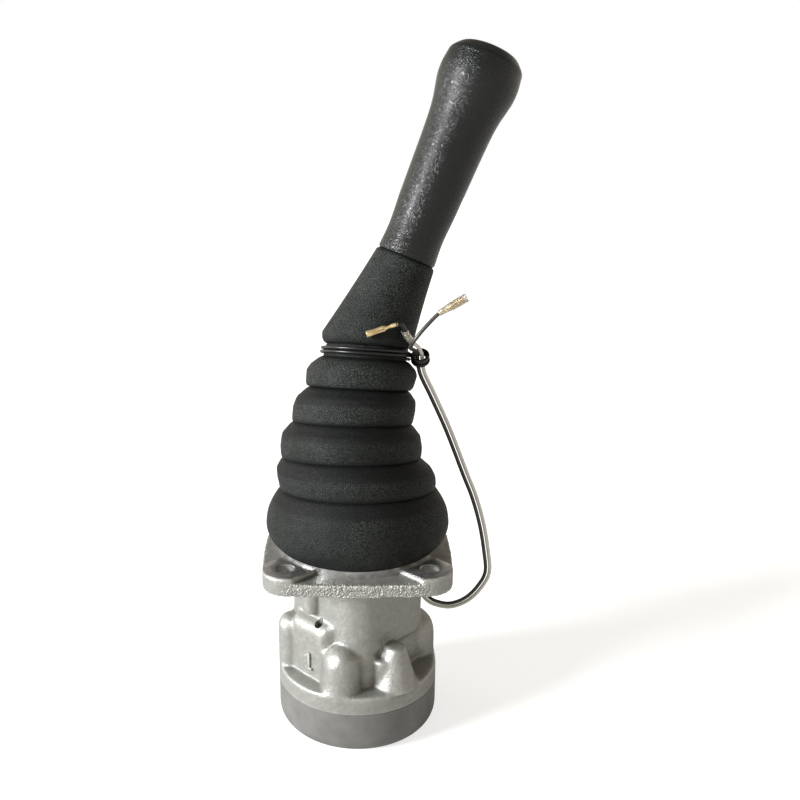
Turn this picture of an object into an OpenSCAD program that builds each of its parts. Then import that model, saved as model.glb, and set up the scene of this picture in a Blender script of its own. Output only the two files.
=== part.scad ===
// Hydraulic pilot joystick valve: a two-axis lever on a universal joint works four
// pressure-reducing spools through a swash disc and four push rods.
// Z = 0 is the mounting face under the square flange, at the centre of its bolt holes.
// X is to the operator's right, Y is away from the viewer, Z is up.

/* [Casing] */
// Depth of the casing below the mounting face
casing_h = 72; // [70:1:84]
// Diameter of the round lower flange and of the port plate
base_d = 90; // [86:1:100]
// Height of the round lower flange
foot_flange_h = 10; // [8:0.5:12]
// Width of the square mounting flange
flange_w = 103; // [100:1:112]
// Thickness of the mounting flange
flange_t = 7; // [6:0.5:9]
// Corner radius of the mounting flange
flange_corner_r = 13; // [10:1:15]
// Height of the corner pads above the flange
pad_rise = 3; // [1:0.5:4]
// Width of each corner pad
pad_w = 23; // [18:1:26]
// Distance between bolt holes, both ways
bolt_pitch = 75; // [73:0.5:77]
// Diameter of the bolt holes
bolt_hole_d = 9; // [6.6:0.1:10]
// Outer diameter of the raised ring that carries the boot
ring_d = 88; // [86:1:92]
// Height of the raised ring above the flange
ring_rise = 4.5; // [3:0.5:6]
// Radius of the neck round each push rod bore
neck_lobe_r = 15; // [14:0.5:16]
// Height of the upper neck block, below the mounting face
neck_block_h = 42; // [38:1:46]

/* [Port plate] */
// Thickness of the port plate
port_plate_h = 25; // [22:1:30]
// Radius of the rounded lower edge
edge_r = 8.5; // [6:0.5:11]
// Diameter of each threaded port, at the thread's core
port_d = 11.8; // [10:0.1:12]
// Depth of each threaded port
port_depth = 14; // [11:0.5:15]
// Distance of the tank port from the centre
tank_port_r = 27; // [26:0.5:28]

/* [Push rods and spools] */
// Radius of the circle that the push rods stand on
rod_circle_r = 21; // [20.5:0.25:22]
// Diameter of a push rod
rod_d = 10; // [9:0.5:10]
// Diameter of the bore for a guide plug
plug_bore_d = 18.1; // [17.5:0.1:18.5]
// Diameter of the spool bores
spool_bore_d = 10; // [9:0.5:10.5]
// Depth of the spring chambers below the mounting face
chamber_depth = 46; // [46:0.5:48]
// Wire diameter of a return spring
return_wire_d = 1.8; // [1.4:0.1:2]
// Wire diameter of a metering spring
metering_wire_d = 1.3; // [1:0.1:1.4]
// Turns of each spring
spring_turns = 5; // [4:1:6]
// Diameter of the port plate screws
screw_d = 6; // [5:1:6]

/* [Universal joint and disc] */
// Height of the joint's centre above the mounting face
pivot_z = 19; // [18.5:0.5:22]
// Diameter of the cross's trunnions
trunnion_d = 5; // [4:0.5:6]
// Thickness of the retaining plate
retainer_t = 3; // [2:0.5:3]
// Radius of the swash disc
disc_r = 27.5; // [26.5:0.5:28.5]
// Thickness of the swash disc's rim
disc_t = 4; // [3:0.5:5]
// Diameter of the stud on the upper yoke
stud_d = 12; // [10:1:13]

/* [Lever and grip] */
// Diameter of the bent lever tube
lever_d = 14; // [12.5:0.5:16]
// Height of the bend above the mounting face
bend_z = 112; // [110:1:114]
// Angle of the upper lever from upright
lever_lean = 23.1; // [18:0.1:26]
// Direction of that lean, from +X towards +Y
lever_turn = 16.7; // [0:0.1:30]
// Length of the boot's sleeve above the bend
sleeve_len = 56; // [50:1:60]
// Length of the grip
grip_len = 113; // [108:1:124]
// Diameter of the grip at its lower end
grip_foot_d = 31.6; // [28:0.2:34]
// Diameter of the grip at its waist
grip_waist_d = 30.2; // [26:0.2:32]
// Diameter of the grip at its head
grip_head_d = 42.8; // [38:0.2:44]
// Travel of the horn button
button_travel = 1.5; // [1:0.1:2]

/* [Boot] */
// Largest diameter of the skirt
skirt_d = 100.4; // [98:0.2:104]
// Diameter of the groove that the tie lies in
groove_d = 44.6; // [42:0.2:46]
// Wall of the boot
boot_wall = 2.5; // [2:0.1:3]

/* [Wires] */
// Diameter of each wire
wire_d = 2.2; // [1.8:0.1:2.4]
// Diameter of the sheathed lead inside
lead_d = 4; // [3:0.1:4.5]

/* [Hidden] */
$fn = 48;
EPS = 0.01;
RUN = 0.05;          // running clearance of a shaft in its bore, on the radius
SOFT = 0.3;          // gap between a soft or moving face and its neighbour
QUARTERS = [0, 90, 180, 270];
seam_z = -casing_h;
base_z = seam_z - port_plate_h;
foot_top_z = seam_z + foot_flange_h;
base_r = base_d / 2;
ring_top_z = flange_t + ring_rise;
recess_z = 3;        // floor of the recess under the boot
recess_r = ring_d / 2 - 7.5;
side_r = 400;        // radius of the flange's slightly bowed sides
retainer_top_z = recess_z + retainer_t;

// Hydraulic parts, one set in each quarter
rod_r = rod_d / 2;
plug_r = plug_bore_d / 2 - RUN;
plug_len = 25;
plug_foot_z = recess_z - plug_len;
collar_r = rod_r + 1.3;
collar_h = 2.5;
collar_room = 8;     // how far the collar may rise inside the plug
seat_r = plug_r - 1.4;
seat_room = 5.5;     // how far the spring seat may rise inside the plug
seat_top_z = plug_foot_z - collar_h;
seat_h = 2.5;
seat_foot_z = seat_top_z - seat_h;
chamber_z = -chamber_depth;
spool_r = spool_bore_d / 2 - 0.03;
spool_top_z = chamber_z + 2.5;
spool_foot_z = seam_z + 2.5;
washer_h = 1;
feed_z = seam_z + 10;    // height of the pressure drillings
drain_z = seam_z + 20;   // height of the drain gallery
port_r = port_d / 2;
screw_r = screw_d / 2;
screw_circle_r = 31.5;
screw_angles = [-50, 130, 230];
screw_head_r = screw_d * 5 / 6;
screw_head_h = screw_d;
screw_recess = screw_head_h + 2;
screw_tip_z = seam_z + 2 * screw_d;
tank_angle = 45;
seal_r = 7;
seal_wire_r = 0.85;
pin_r = 2;
pin_at = base_r - 9;

// Universal joint
arm_in = 5.2;        // inner face of each yoke's ears
arm_out = 8.4;       // outer face of each yoke's ears
arm_w = 5;           // radius of the ears
trunnion_r = trunnion_d / 2;
yoke_base_z = pivot_z - 8.6;
bridge_z = pivot_z + 8.4;
bridge_top_z = bridge_z + 4;
yoke_shank_r = 7;
yoke_shank_len = 22;
stud_r = stud_d / 2;
disc_under_z = pivot_z + rod_r;
disc_hub_t = 4;
disc_hub_z = bridge_top_z;
adjust_h = 8;
adjust_across = stud_d * 11 / 6;   // across the nuts' flats
lock_across = stud_d * 19 / 12;
adjust_z = disc_hub_z + disc_hub_t;
lock_h = 7;
lock_z = adjust_z + adjust_h;
lever_foot_z = lock_z + lock_h;
stud_top_z = lever_foot_z + 14;

// Lever: it rises from the stud, and is bent at the boot's groove
lever_r = lever_d / 2;
lever_bore_r = lead_d / 2 + 1.2;
bend = [4.5, 9.5, bend_z];
knee = [0, 0, lever_foot_z + 18];
lever_end = sleeve_len + 60;   // the tube's end inside the grip, from the bend
grip_bore_r = lever_r + RUN;

// Horn button parts, along the grip's axis from its lower end
pocket_r = 9;
pocket_s = grip_len - 29;
switch_top_s = pocket_s + 14;
bezel_s = grip_len - 9;
bezel_h = 6.5;
bezel_bore_r = 7;
button_r = bezel_bore_r - 0.1;
button_flange_h = 2.4;

// Boot: for each fold, the radius and height of its widest place, and of the valley above it
skirt_r = skirt_d / 2;
groove_r = groove_d / 2;
boot_foot_z = ring_top_z;
collar_top_z = bend_z + 5;
FOLDS = [
    [skirt_r, 20, skirt_r - 8.6, 40.5],
    [skirt_r - 7.2, 46, skirt_r - 13.2, 57],
    [skirt_r - 11.8, 62.5, skirt_r - 18.6, 76],
    [skirt_r - 17.2, 83, skirt_r - 24, 94.5],
    [skirt_r - 20.6, 102, groove_r, 110.5]
];
BOOT_SIDES = 40;

// Wires: the pair's middle line from the grommet to the knot, then each wire's own tail
LOOP = [
    [19, 19, -16], [24, 24, -16.5], [31, 29, -23], [37, 29, -35], [42.5, 27, -41.5], [48, 26, -44], [56, 25, -44.5],
    [65, 23, -39.5], [72, 21, -30.5], [76, 19, -20], [74.5, 17, -6], [71, 15, 12], [66, 14, 29],
    [60, 13, 44], [50, 11.5, 69.5], [40.5, 9, 90.5], [34.5, 6, 103.5], [32.8, 3.6, 114]
];
BLACK_TAIL = [[29.5, -1.5, 117.5], [27.2, -7.5, 120], [28.5, -12, 124], [33, -12.5, 130], [38, -12, 135.5], [41, -12, 138.5]];
WHITE_TAIL = [[32, -0.5, 118.8], [28, -6.5, 123], [25, -9.5, 127], [23.5, -11.3, 130.5], [22, -13.2, 133], [20, -14.2, 133.5]];
LEAD = [
    [18.1, 18.1, -16], [17.2, 17.2, -15], [17, 17, -12.5], [17, 17, 4], [18.5, 18.5, 11], [24, 24, 20], [26, 26, 34], [21, 23, 50],
    [11, 15, 61], [6.6, 10.8, 67.2], [4.8, 8.3, 68.4]
];
wire_r = wire_d / 2;
pair_gap = 0.15;
exit_angle = 45;
exit_r = 24;         // where the wire passage comes down through the casing
exit_z = -16;        // height of the grommet
passage_r = lead_d / 2 + 0.8;

// ---- Shared shapes ----

// Places children at the same place in quarter i, counted from +X towards +Y
module at_quarter(i) {
    rotate([0, 0, QUARTERS[i]]) translate([rod_circle_r, 0, 0]) children();
}

// A square with round corners, turned to stand on its corner, extruded upwards
module diamond(reach, corner_r, z0, z1) {
    side = reach * sqrt(2);
    translate([0, 0, z0]) linear_extrude(z1 - z0) {
        rotate([0, 0, 45]) square([side, side + 2 * corner_r], center = true);
        rotate([0, 0, 45]) square([side + 2 * corner_r, side], center = true);
        for (a = QUARTERS) rotate([0, 0, a]) translate([reach, 0]) circle(r = corner_r);
    }
}

// A cast boss with a domed top
module domed_boss(at, r, top_z) {
    translate([at[0], at[1], foot_top_z - 1]) cylinder(r = r, h = top_z - r - foot_top_z + 1);
    translate([at[0], at[1], top_z - r]) sphere(r = r);
}

// A ring of round wire lying flat
module wire_ring(mid_r, wire) {
    rotate_extrude() translate([mid_r, 0]) circle(r = wire, $fn = 24);
}

// A hexagonal nut with a bore, standing on z0
module hex_nut(across, h, bore_r, z0) {
    difference() {
        translate([0, 0, z0]) cylinder(d = across / cos(30), h = h, $fn = 6);
        translate([0, 0, z0 - 1]) cylinder(r = bore_r, h = h + 2);
    }
}

// ---- Functions that sweep a section along a line ----
function unit(v) = v / norm(v);
function curve_point(a, b, c, d, t) = 0.5 * ((2 * b) + (c - a) * t + (2 * a - 5 * b + 4 * c - d) * t * t
    + (3 * b - a - 3 * c + d) * t * t * t);
function smooth(p, k) = [
    for (i = [0:len(p) - 2]) for (j = [0:k - 1])
        curve_point(p[max(i - 1, 0)], p[i], p[i + 1], p[min(i + 2, len(p) - 1)], j / k),
    p[len(p) - 1]
];
function heading(p, i) = unit(p[min(i + 1, len(p) - 1)] - p[max(i - 1, 0)]);
function side_of(h) = unit(cross(h, [0.1, 1, 0.05]));
function ring_at(c, u, v, r, n) = [for (j = [0:n - 1]) c + r * (cos(360 * j / n) * u + sin(360 * j / n) * v)];

// A tube of radius r through the points p, with n sides
module swept_tube(p, r, n = 8) {
    rings = [for (i = [0:len(p) - 1]) let (h = heading(p, i), u = side_of(h)) each ring_at(p[i], u, cross(h, u), r, n)];
    walls = [for (i = [0:len(p) - 2]) for (j = [0:n - 1]) let (a = i * n, b = a + n, k = (j + 1) % n)
        each [[a + k, a + j, b + j], [b + k, a + k, b + j]]];
    start = [for (j = [0:n - 1]) j];
    end = [for (j = [n - 1:-1:0]) (len(p) - 1) * n + j];
    polyhedron(points = rings, faces = concat(walls, [start, end]));
}

// Moves a line sideways within the loop's own plane
function beside(p, d) = [for (i = [0:len(p) - 1]) p[i] + d * side_of(heading(p, i))];

// A coil spring between two heights
module coil(mid_r, wire, z0, z1, turns) {
    steps = turns * 14;
    rise = z1 - z0 - 2 * wire;
    swept_tube([for (i = [0:steps]) let (a = 360 * i / 14)
        [mid_r * cos(a), mid_r * sin(a), z0 + wire + rise * i / steps]], wire, 6);
}

// Puts children on the upper lever's axis, at a distance from the bend
module on_lever(s) {
    translate(bend) rotate([0, 0, lever_turn]) rotate([0, lever_lean, 0]) translate([0, 0, s]) children();
}
module on_grip(s) {
    on_lever(sleeve_len + s) children();
}
function lever_dir() = [sin(lever_lean) * cos(lever_turn), sin(lever_lean) * sin(lever_turn), cos(lever_lean)];

// ---- Casing ----
module flange_outline() {
    reach = flange_w / 2;
    intersection() {
        rounded_square(reach);
        translate([side_r - reach, 0]) rotate([0, 0, 180]) circle(r = side_r, $fn = 200);
        translate([reach - side_r, 0]) circle(r = side_r, $fn = 200);
        translate([0, side_r - reach]) circle(r = side_r, $fn = 200);
        translate([0, reach - side_r]) circle(r = side_r, $fn = 200);
    }
}

module rounded_square(reach) {
    square([2 * reach, 2 * (reach - flange_corner_r)], center = true);
    square([2 * (reach - flange_corner_r), 2 * reach], center = true);
    for (x = [-1, 1], y = [-1, 1])
        translate([x, y] * (reach - flange_corner_r)) circle(r = flange_corner_r);
}

module mounting_flange() {
    linear_extrude(flange_t) flange_outline();
    intersection() {
        linear_extrude(flange_t + pad_rise) flange_outline();
        for (a = [45, 135]) rotate([0, 0, a]) translate([-flange_w, -pad_w / 2, 0]) cube([2 * flange_w, pad_w, flange_w]);
    }
    cylinder(d = ring_d, h = ring_top_z);
}

module neck() {
    diamond(rod_circle_r, neck_lobe_r, -neck_block_h, EPS);
    diamond(rod_circle_r, neck_lobe_r - 2.5, foot_top_z - 1, -neck_block_h + 1);
    // bosses cast round the neck's foot, kept within the foot's rim
    intersection() {
        translate([0, 0, foot_top_z - 1]) cylinder(r = base_r - 0.5, h = 40);
        union() {
            domed_boss([-10.8, -34.2], 8.6, foot_top_z + 26);
            domed_boss([-34.5, -10.5], 9, foot_top_z + 30);
            domed_boss([30.5, 8], 14, foot_top_z + 25);
            domed_boss([19, 19], 12, foot_top_z + 20);
            domed_boss([12, 35.6], 7.2, foot_top_z + 26);
            domed_boss([-21, 26], 11, foot_top_z + 22);
            translate([23.5, -29, foot_top_z - 1]) cylinder(r1 = 10.5, r2 = 2.6, h = 24);
            translate([23.5, -29, foot_top_z + 22.6]) sphere(r = 2.8);
        }
    }
    // flat web between the front and left bosses, and the small boss under the flange
    rotate([0, 0, -135]) translate([20, -14, foot_top_z - 1]) cube([16, 24, 21.4]);
    translate([-26, -16.5, -24]) cylinder(r = 5.2, h = 24 + EPS);
}

module casing() {
    color([0.72, 0.71, 0.68]) difference() {
        union() {
            mounting_flange();
            neck();
            translate([0, 0, seam_z]) cylinder(r = base_r, h = foot_flange_h);
        }
        translate([0, 0, recess_z]) cylinder(r = recess_r, h = ring_top_z);
        for (x = [-1, 1], y = [-1, 1])
            translate([x * bolt_pitch / 2, y * bolt_pitch / 2, -1]) cylinder(d = bolt_hole_d, h = flange_t + pad_rise + 2);
        for (i = [0:3]) at_quarter(i) {
            translate([0, 0, chamber_z]) cylinder(d = plug_bore_d, h = recess_z - chamber_z + 1);
            translate([0, 0, seam_z - 1]) cylinder(d = spool_bore_d, h = casing_h);
        }
        // thread for the lower yoke, then the passage for the lead
        translate([0, 0, recess_z - yoke_shank_len]) cylinder(r = yoke_shank_r + RUN, h = yoke_shank_len + 1);
        rotate([0, 0, exit_angle]) {
            translate([exit_r, 0, exit_z - passage_r]) cylinder(r = passage_r, h = recess_z - exit_z + passage_r + 1);
            translate([exit_r, 0, exit_z]) rotate([0, 90, 0]) cylinder(r = passage_r + 1, h = 12);
        }
        // pressure drilling with its four branches, and the drain gallery
        translate([0, 0, seam_z - 1]) cylinder(r = 3.5, h = 13.5);
        for (a = QUARTERS) rotate([0, 0, a]) translate([0, 0, feed_z]) rotate([0, 90, 0]) cylinder(r = 2, h = rod_circle_r);
        translate([0, 0, drain_z]) rotate_extrude() translate([rod_circle_r, 0]) circle(r = 2);
        rotate([0, 0, tank_angle]) {
            translate([tank_port_r, 0, seam_z - 1]) cylinder(r = 3, h = drain_z - seam_z + 3.8);
            translate([rod_circle_r, 0, drain_z]) rotate([0, 90, 0]) cylinder(r = 1.6, h = tank_port_r - rod_circle_r);
        }
        for (a = screw_angles) rotate([0, 0, a])
            translate([screw_circle_r, 0, seam_z - 1]) cylinder(r = screw_r + RUN, h = screw_tip_z - seam_z + 3);
        translate([pin_at, 0, seam_z - 1]) cylinder(r = pin_r + RUN, h = 5.5);
        // angled drilling below the small boss
        translate([-20.8, -23.4, -30]) rotate([0, 0, -135]) rotate([0, 62, 0]) translate([0, 0, -7]) cylinder(r = 3.2, h = 14);
    }
}

// ---- Port plate and its fastening ----
module port_plate() {
    color([0.70, 0.69, 0.66]) difference() {
        translate([0, 0, base_z]) rotate_extrude($fn = 96) {
            square([base_r - edge_r, port_plate_h]);
            translate([0, edge_r]) square([base_r, port_plate_h - edge_r]);
            translate([base_r - edge_r, edge_r]) circle(r = edge_r, $fn = 64);
        }
        for (i = [0:3]) at_quarter(i) port_bore(4);
        port_bore(3.5);
        rotate([0, 0, tank_angle]) translate([tank_port_r, 0, 0]) port_bore(3);
        for (a = screw_angles) rotate([0, 0, a]) translate([screw_circle_r, 0, 0]) {
            translate([0, 0, base_z - 1]) cylinder(r = screw_head_r + 0.5, h = screw_recess + 1);
            translate([0, 0, base_z]) cylinder(r = screw_r + 0.3, h = port_plate_h + 1);
        }
        translate([pin_at, 0, seam_z - 4.5]) cylinder(r = pin_r + RUN, h = 5.5);
        each_seal() translate([0, 0, seam_z - 2 * seal_wire_r - 0.1]) difference() {
            cylinder(r = seal_r + 1, h = 3);
            translate([0, 0, -1]) cylinder(r = seal_r - 1, h = 5);
        }
    }
}

module port_bore(drill_r) {
    translate([0, 0, base_z - 1]) cylinder(r = port_r, h = port_depth + 1);
    translate([0, 0, base_z]) cylinder(r = drill_r, h = port_plate_h + 1);
}

module each_seal() {
    for (i = [0:3]) at_quarter(i) children();
    children();
    rotate([0, 0, tank_angle]) translate([tank_port_r, 0, 0]) children();
}

module port_plate_seals() {
    color([0.05, 0.05, 0.05]) each_seal() translate([0, 0, seam_z - seal_wire_r - 0.05]) wire_ring(seal_r, seal_wire_r);
}

module port_plate_screws() {
    head_z = base_z + screw_recess - screw_head_h;
    color([0.35, 0.35, 0.36]) for (a = screw_angles) rotate([0, 0, a]) translate([screw_circle_r, 0, 0]) difference() {
        union() {
            translate([0, 0, head_z]) cylinder(r = screw_head_r, h = screw_head_h);
            translate([0, 0, head_z]) cylinder(r = screw_r, h = screw_tip_z - head_z);
        }
        translate([0, 0, head_z - 1]) cylinder(d = screw_d * 5 / 6 / cos(30), h = screw_head_h / 2 + 1, $fn = 6);
    }
}

module locating_pin() {
    color([0.6, 0.6, 0.62]) translate([pin_at, 0, seam_z - 4]) cylinder(r = pin_r, h = 8);
}

// ---- Plugs, rods, springs and spools ----
module retaining_plate() {
    color([0.62, 0.63, 0.65]) difference() {
        translate([0, 0, recess_z]) cylinder(r = recess_r - SOFT, h = retainer_t);
        translate([0, 0, recess_z - 1]) cylinder(r = yoke_shank_r + RUN, h = retainer_t + 2);
        for (i = [0:3]) at_quarter(i) translate([0, 0, recess_z - 1]) cylinder(r = rod_r + 1, h = retainer_t + 2);
        rotate([0, 0, exit_angle]) translate([exit_r, 0, recess_z - 1]) cylinder(r = passage_r, h = retainer_t + 2);
    }
}

module guide_plug(i) {
    color([0.78, 0.66, 0.36]) at_quarter(i) difference() {
        translate([0, 0, plug_foot_z]) cylinder(r = plug_r, h = plug_len);
        translate([0, 0, plug_foot_z - 1]) cylinder(r = rod_r + RUN, h = plug_len + 2);
        translate([0, 0, plug_foot_z - 1]) cylinder(r = collar_r + 0.3, h = collar_room + 1);
        translate([0, 0, plug_foot_z - 1]) cylinder(r = seat_r + 0.3, h = seat_room + 1);
        translate([0, 0, recess_z - 3.2]) cylinder(r = rod_r + 1.8, h = 4);
        translate([0, 0, recess_z - 11]) difference() {
            cylinder(r = plug_r + 1, h = 2);
            translate([0, 0, -1]) cylinder(r = plug_r - 1.6, h = 4);
        }
    }
}

module plug_o_rings() {
    color([0.05, 0.05, 0.05]) for (i = [0:3]) at_quarter(i) translate([0, 0, recess_z - 10]) wire_ring(plug_r - 0.8, 0.75);
}

module rod_seals() {
    color([0.08, 0.08, 0.1]) for (i = [0:3]) at_quarter(i) translate([0, 0, recess_z - 3.1]) difference() {
        cylinder(r = rod_r + 1.7, h = 3);
        translate([0, 0, -1]) cylinder(r = rod_r + RUN, h = 5);
    }
}

module push_rod(i) {
    color([0.75, 0.76, 0.78]) at_quarter(i) {
        translate([0, 0, plug_foot_z - collar_h]) cylinder(r = rod_r, h = pivot_z - SOFT - plug_foot_z + collar_h);
        translate([0, 0, plug_foot_z - collar_h]) cylinder(r = collar_r, h = collar_h - 0.2);
        translate([0, 0, pivot_z - SOFT]) sphere(r = rod_r);
    }
}

module spring_seat(i) {
    color([0.55, 0.56, 0.58]) at_quarter(i) difference() {
        translate([0, 0, seat_foot_z]) cylinder(r = seat_r, h = seat_h);
        translate([0, 0, seat_foot_z - 1]) cylinder(r = 2.8, h = seat_h + 2);
    }
}

module return_spring(i) {
    r = return_wire_d / 2;
    color([0.5, 0.51, 0.53]) at_quarter(i) coil(plug_r - 0.9 - r, r, chamber_z, seat_foot_z, spring_turns);
}

module metering_spring(i) {
    r = metering_wire_d / 2;
    color([0.6, 0.58, 0.5]) at_quarter(i) coil(3.1 + r, r, spool_top_z + washer_h, seat_foot_z, spring_turns);
}

module spool(i) {
    color([0.68, 0.69, 0.71]) at_quarter(i) difference() {
        union() {
            translate([0, 0, spool_foot_z]) cylinder(r = spool_r, h = spool_top_z - spool_foot_z);
            translate([0, 0, spool_top_z]) cylinder(r = spool_r, h = washer_h);
            translate([0, 0, spool_top_z]) cylinder(r = 2.5, h = 7);
        }
        for (z = [feed_z - 2.5, drain_z - 2.5]) translate([0, 0, z]) difference() {
            cylinder(r = spool_r + 1, h = 5);
            translate([0, 0, -1]) cylinder(r = spool_r - 1.5, h = 7);
        }
        translate([0, 0, spool_foot_z - 1]) cylinder(r = 2, h = drain_z - spool_foot_z - 3);
        translate([0, 0, feed_z + 5]) rotate([0, 90, 0]) translate([0, 0, -10]) cylinder(r = 1, h = 20);
    }
}

// ---- Universal joint, disc and nuts ----
module ear_pair(inner, outer, foot_z, w) {
    for (side = [-1, 1]) translate([side * (inner + outer) / 2, 0, 0]) {
        translate([-(outer - inner) / 2, 0, pivot_z]) rotate([0, 90, 0]) cylinder(r = w, h = outer - inner);
        z0 = min(foot_z, pivot_z);
        translate([-(outer - inner) / 2, -w, z0]) cube([outer - inner, 2 * w, abs(foot_z - pivot_z)]);
    }
}

module lower_yoke() {
    color([0.45, 0.46, 0.48]) difference() {
        union() {
            translate([0, 0, recess_z - yoke_shank_len + 1]) cylinder(r = yoke_shank_r, h = yoke_shank_len + retainer_t);
            translate([0, 0, retainer_top_z]) cylinder(d = 24 / cos(30), h = yoke_base_z - retainer_top_z, $fn = 6);
            ear_pair(arm_in, arm_out, yoke_base_z - EPS, arm_w);
        }
        translate([-20, 0, pivot_z]) rotate([0, 90, 0]) cylinder(r = trunnion_r + RUN, h = 40);
    }
}

module joint_cross() {
    color([0.5, 0.51, 0.53]) {
        translate([0, 0, pivot_z]) cube([9.6, 9.6, 2 * trunnion_r + 1.6], center = true);
        translate([-arm_out, 0, pivot_z]) rotate([0, 90, 0]) cylinder(r = trunnion_r, h = 2 * arm_out);
        translate([0, arm_out, pivot_z]) rotate([90, 0, 0]) cylinder(r = trunnion_r, h = 2 * arm_out);
    }
}

module upper_yoke() {
    color([0.45, 0.46, 0.48]) difference() {
        union() {
            rotate([0, 0, 90]) ear_pair(arm_in, arm_out, bridge_z + EPS, arm_w);
            translate([0, 0, bridge_z]) cylinder(r = arm_out + 1.8, h = bridge_top_z - bridge_z);
            translate([0, 0, bridge_top_z - 1]) cylinder(r = stud_r, h = stud_top_z - bridge_top_z + 1);
        }
        translate([0, 20, pivot_z]) rotate([90, 0, 0]) cylinder(r = trunnion_r + RUN, h = 40);
    }
}

module swash_disc() {
    rim_in = 14.5;
    hub_out = 13;
    hub_top = disc_hub_z + disc_hub_t;
    color([0.58, 0.59, 0.6]) rotate_extrude($fn = 72) polygon([
        [stud_r + RUN, disc_hub_z], [hub_out - 1.5, disc_hub_z], [rim_in, disc_under_z + disc_t - 1],
        [rim_in, disc_under_z], [disc_r, disc_under_z], [disc_r, disc_under_z + disc_t],
        [rim_in + 3.5, disc_under_z + disc_t], [hub_out + 1, hub_top], [stud_r + RUN, hub_top]
    ]);
}

module adjusting_nut() {
    color([0.66, 0.62, 0.48]) hex_nut(adjust_across, adjust_h, stud_r + RUN, adjust_z);
}

module lock_nut() {
    color([0.66, 0.62, 0.48]) hex_nut(lock_across, lock_h, stud_r + RUN, lock_z);
}

// ---- Lever and grip ----
module rod_between(a, b, r) {
    d = b - a;
    translate(a) rotate([0, acos(d[2] / norm(d)), atan2(d[1], d[0])]) cylinder(r = r, h = norm(d));
}

module lever_tube() {
    socket_r = stud_r + 3;
    tip = bend + lever_end * lever_dir();
    color([0.3, 0.31, 0.33]) difference() {
        union() {
            translate([0, 0, lever_foot_z]) cylinder(r = max(socket_r, lever_r), h = 15);
            translate([0, 0, lever_foot_z]) cylinder(r = lever_r, h = knee[2] - lever_foot_z);
            translate(knee) sphere(r = lever_r + 0.15);
            rod_between(knee, bend, lever_r);
            translate(bend) sphere(r = lever_r + 0.15);
            on_lever(0) cylinder(r = lever_r, h = lever_end);
        }
        translate([0, 0, lever_foot_z - 1]) cylinder(r = stud_r + RUN, h = stud_top_z - lever_foot_z + 1.5);
        swept_tube([knee, bend, tip + lever_dir()], lever_bore_r, 12);
        // side hole where the lead leaves the tube
        translate(knee) rotate([0, 90, 60]) cylinder(r = lead_d / 2 + 0.5, h = lever_r + 2);
    }
}

module lever_lead() {
    hole = [cos(60), sin(60), 0];
    rise = bend - knee;
    head = bend + (sleeve_len + pocket_s - SOFT) * lever_dir();
    route = [knee + (lever_r + 1) * hole, knee + 1.2 * hole + 0.02 * rise, knee + 0.12 * rise, knee + 0.92 * rise,
        bend + 4 * lever_dir(), head];
    color([0.08, 0.08, 0.08]) swept_tube(route, lead_d / 2 - 0.2, 8);
}

module grip_section(s, d) {
    on_grip(s) cylinder(d = d, h = 0.4, center = true, $fn = 32);
}

// The grip's outline: diameter at each distance from its lower end
GRIP = [[0.3, grip_foot_d - 1.2], [1.4, grip_foot_d], [13.7, grip_waist_d], [28, grip_waist_d + 1.4],
    [41, grip_waist_d + 2.3], [67, grip_waist_d + 4.2], [79, grip_head_d - 6.4], [87, grip_head_d - 3.2],
    [grip_len - 20.4, grip_head_d - 0.6], [grip_len - 14.5, grip_head_d], [grip_len - 9, grip_head_d - 1.4],
    [grip_len - 6, grip_head_d - 3.4], [grip_len - 3, grip_head_d - 8.6], [grip_len - 1.2, grip_head_d - 13],
    [grip_len - 0.2, grip_head_d - 19]];

module grip() {
    color([0.12, 0.12, 0.13]) difference() {
        on_grip(0) rotate_extrude($fn = 72) polygon(concat([[0, GRIP[0][0]]], [for (g = GRIP) [g[1] / 2, g[0]]],
            [[0, grip_len - 0.2]]));
        on_grip(-1) cylinder(r = grip_bore_r, h = lever_end - sleeve_len + 3);
        on_grip(0) cylinder(r = lead_d / 2 + 1, h = grip_len);
        on_grip(pocket_s) cylinder(r = pocket_r, h = grip_len);
    }
}

module horn_switch() {
    color([0.15, 0.15, 0.17]) on_grip(pocket_s) difference() {
        cylinder(r = pocket_r - 0.1, h = switch_top_s - pocket_s);
        translate([0, 0, -1]) cylinder(r = lead_d / 2 + 0.2, h = 4);
    }
}

module button_bezel() {
    color([0.1, 0.1, 0.1]) on_grip(bezel_s) difference() {
        cylinder(r = pocket_r - RUN, h = bezel_h);
        translate([0, 0, -1]) cylinder(r = bezel_bore_r, h = bezel_h + 2);
    }
}

module horn_button() {
    cap_top = bezel_s + bezel_h - 0.4;
    flange_top = bezel_s - SOFT;
    color([0.55, 0.09, 0.07]) {
        on_grip(flange_top - EPS) cylinder(r = button_r, h = cap_top - flange_top);
        on_grip(flange_top - button_flange_h) cylinder(r = pocket_r - 1, h = button_flange_h);
        on_grip(switch_top_s + button_travel + SOFT) cylinder(r = 2.5, h = flange_top - switch_top_s - button_travel - SOFT);
    }
}

module button_spring() {
    color([0.7, 0.71, 0.73]) on_grip(0)
        coil(4.6, 0.4, switch_top_s, bezel_s - SOFT - button_flange_h, 3);
}

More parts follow.
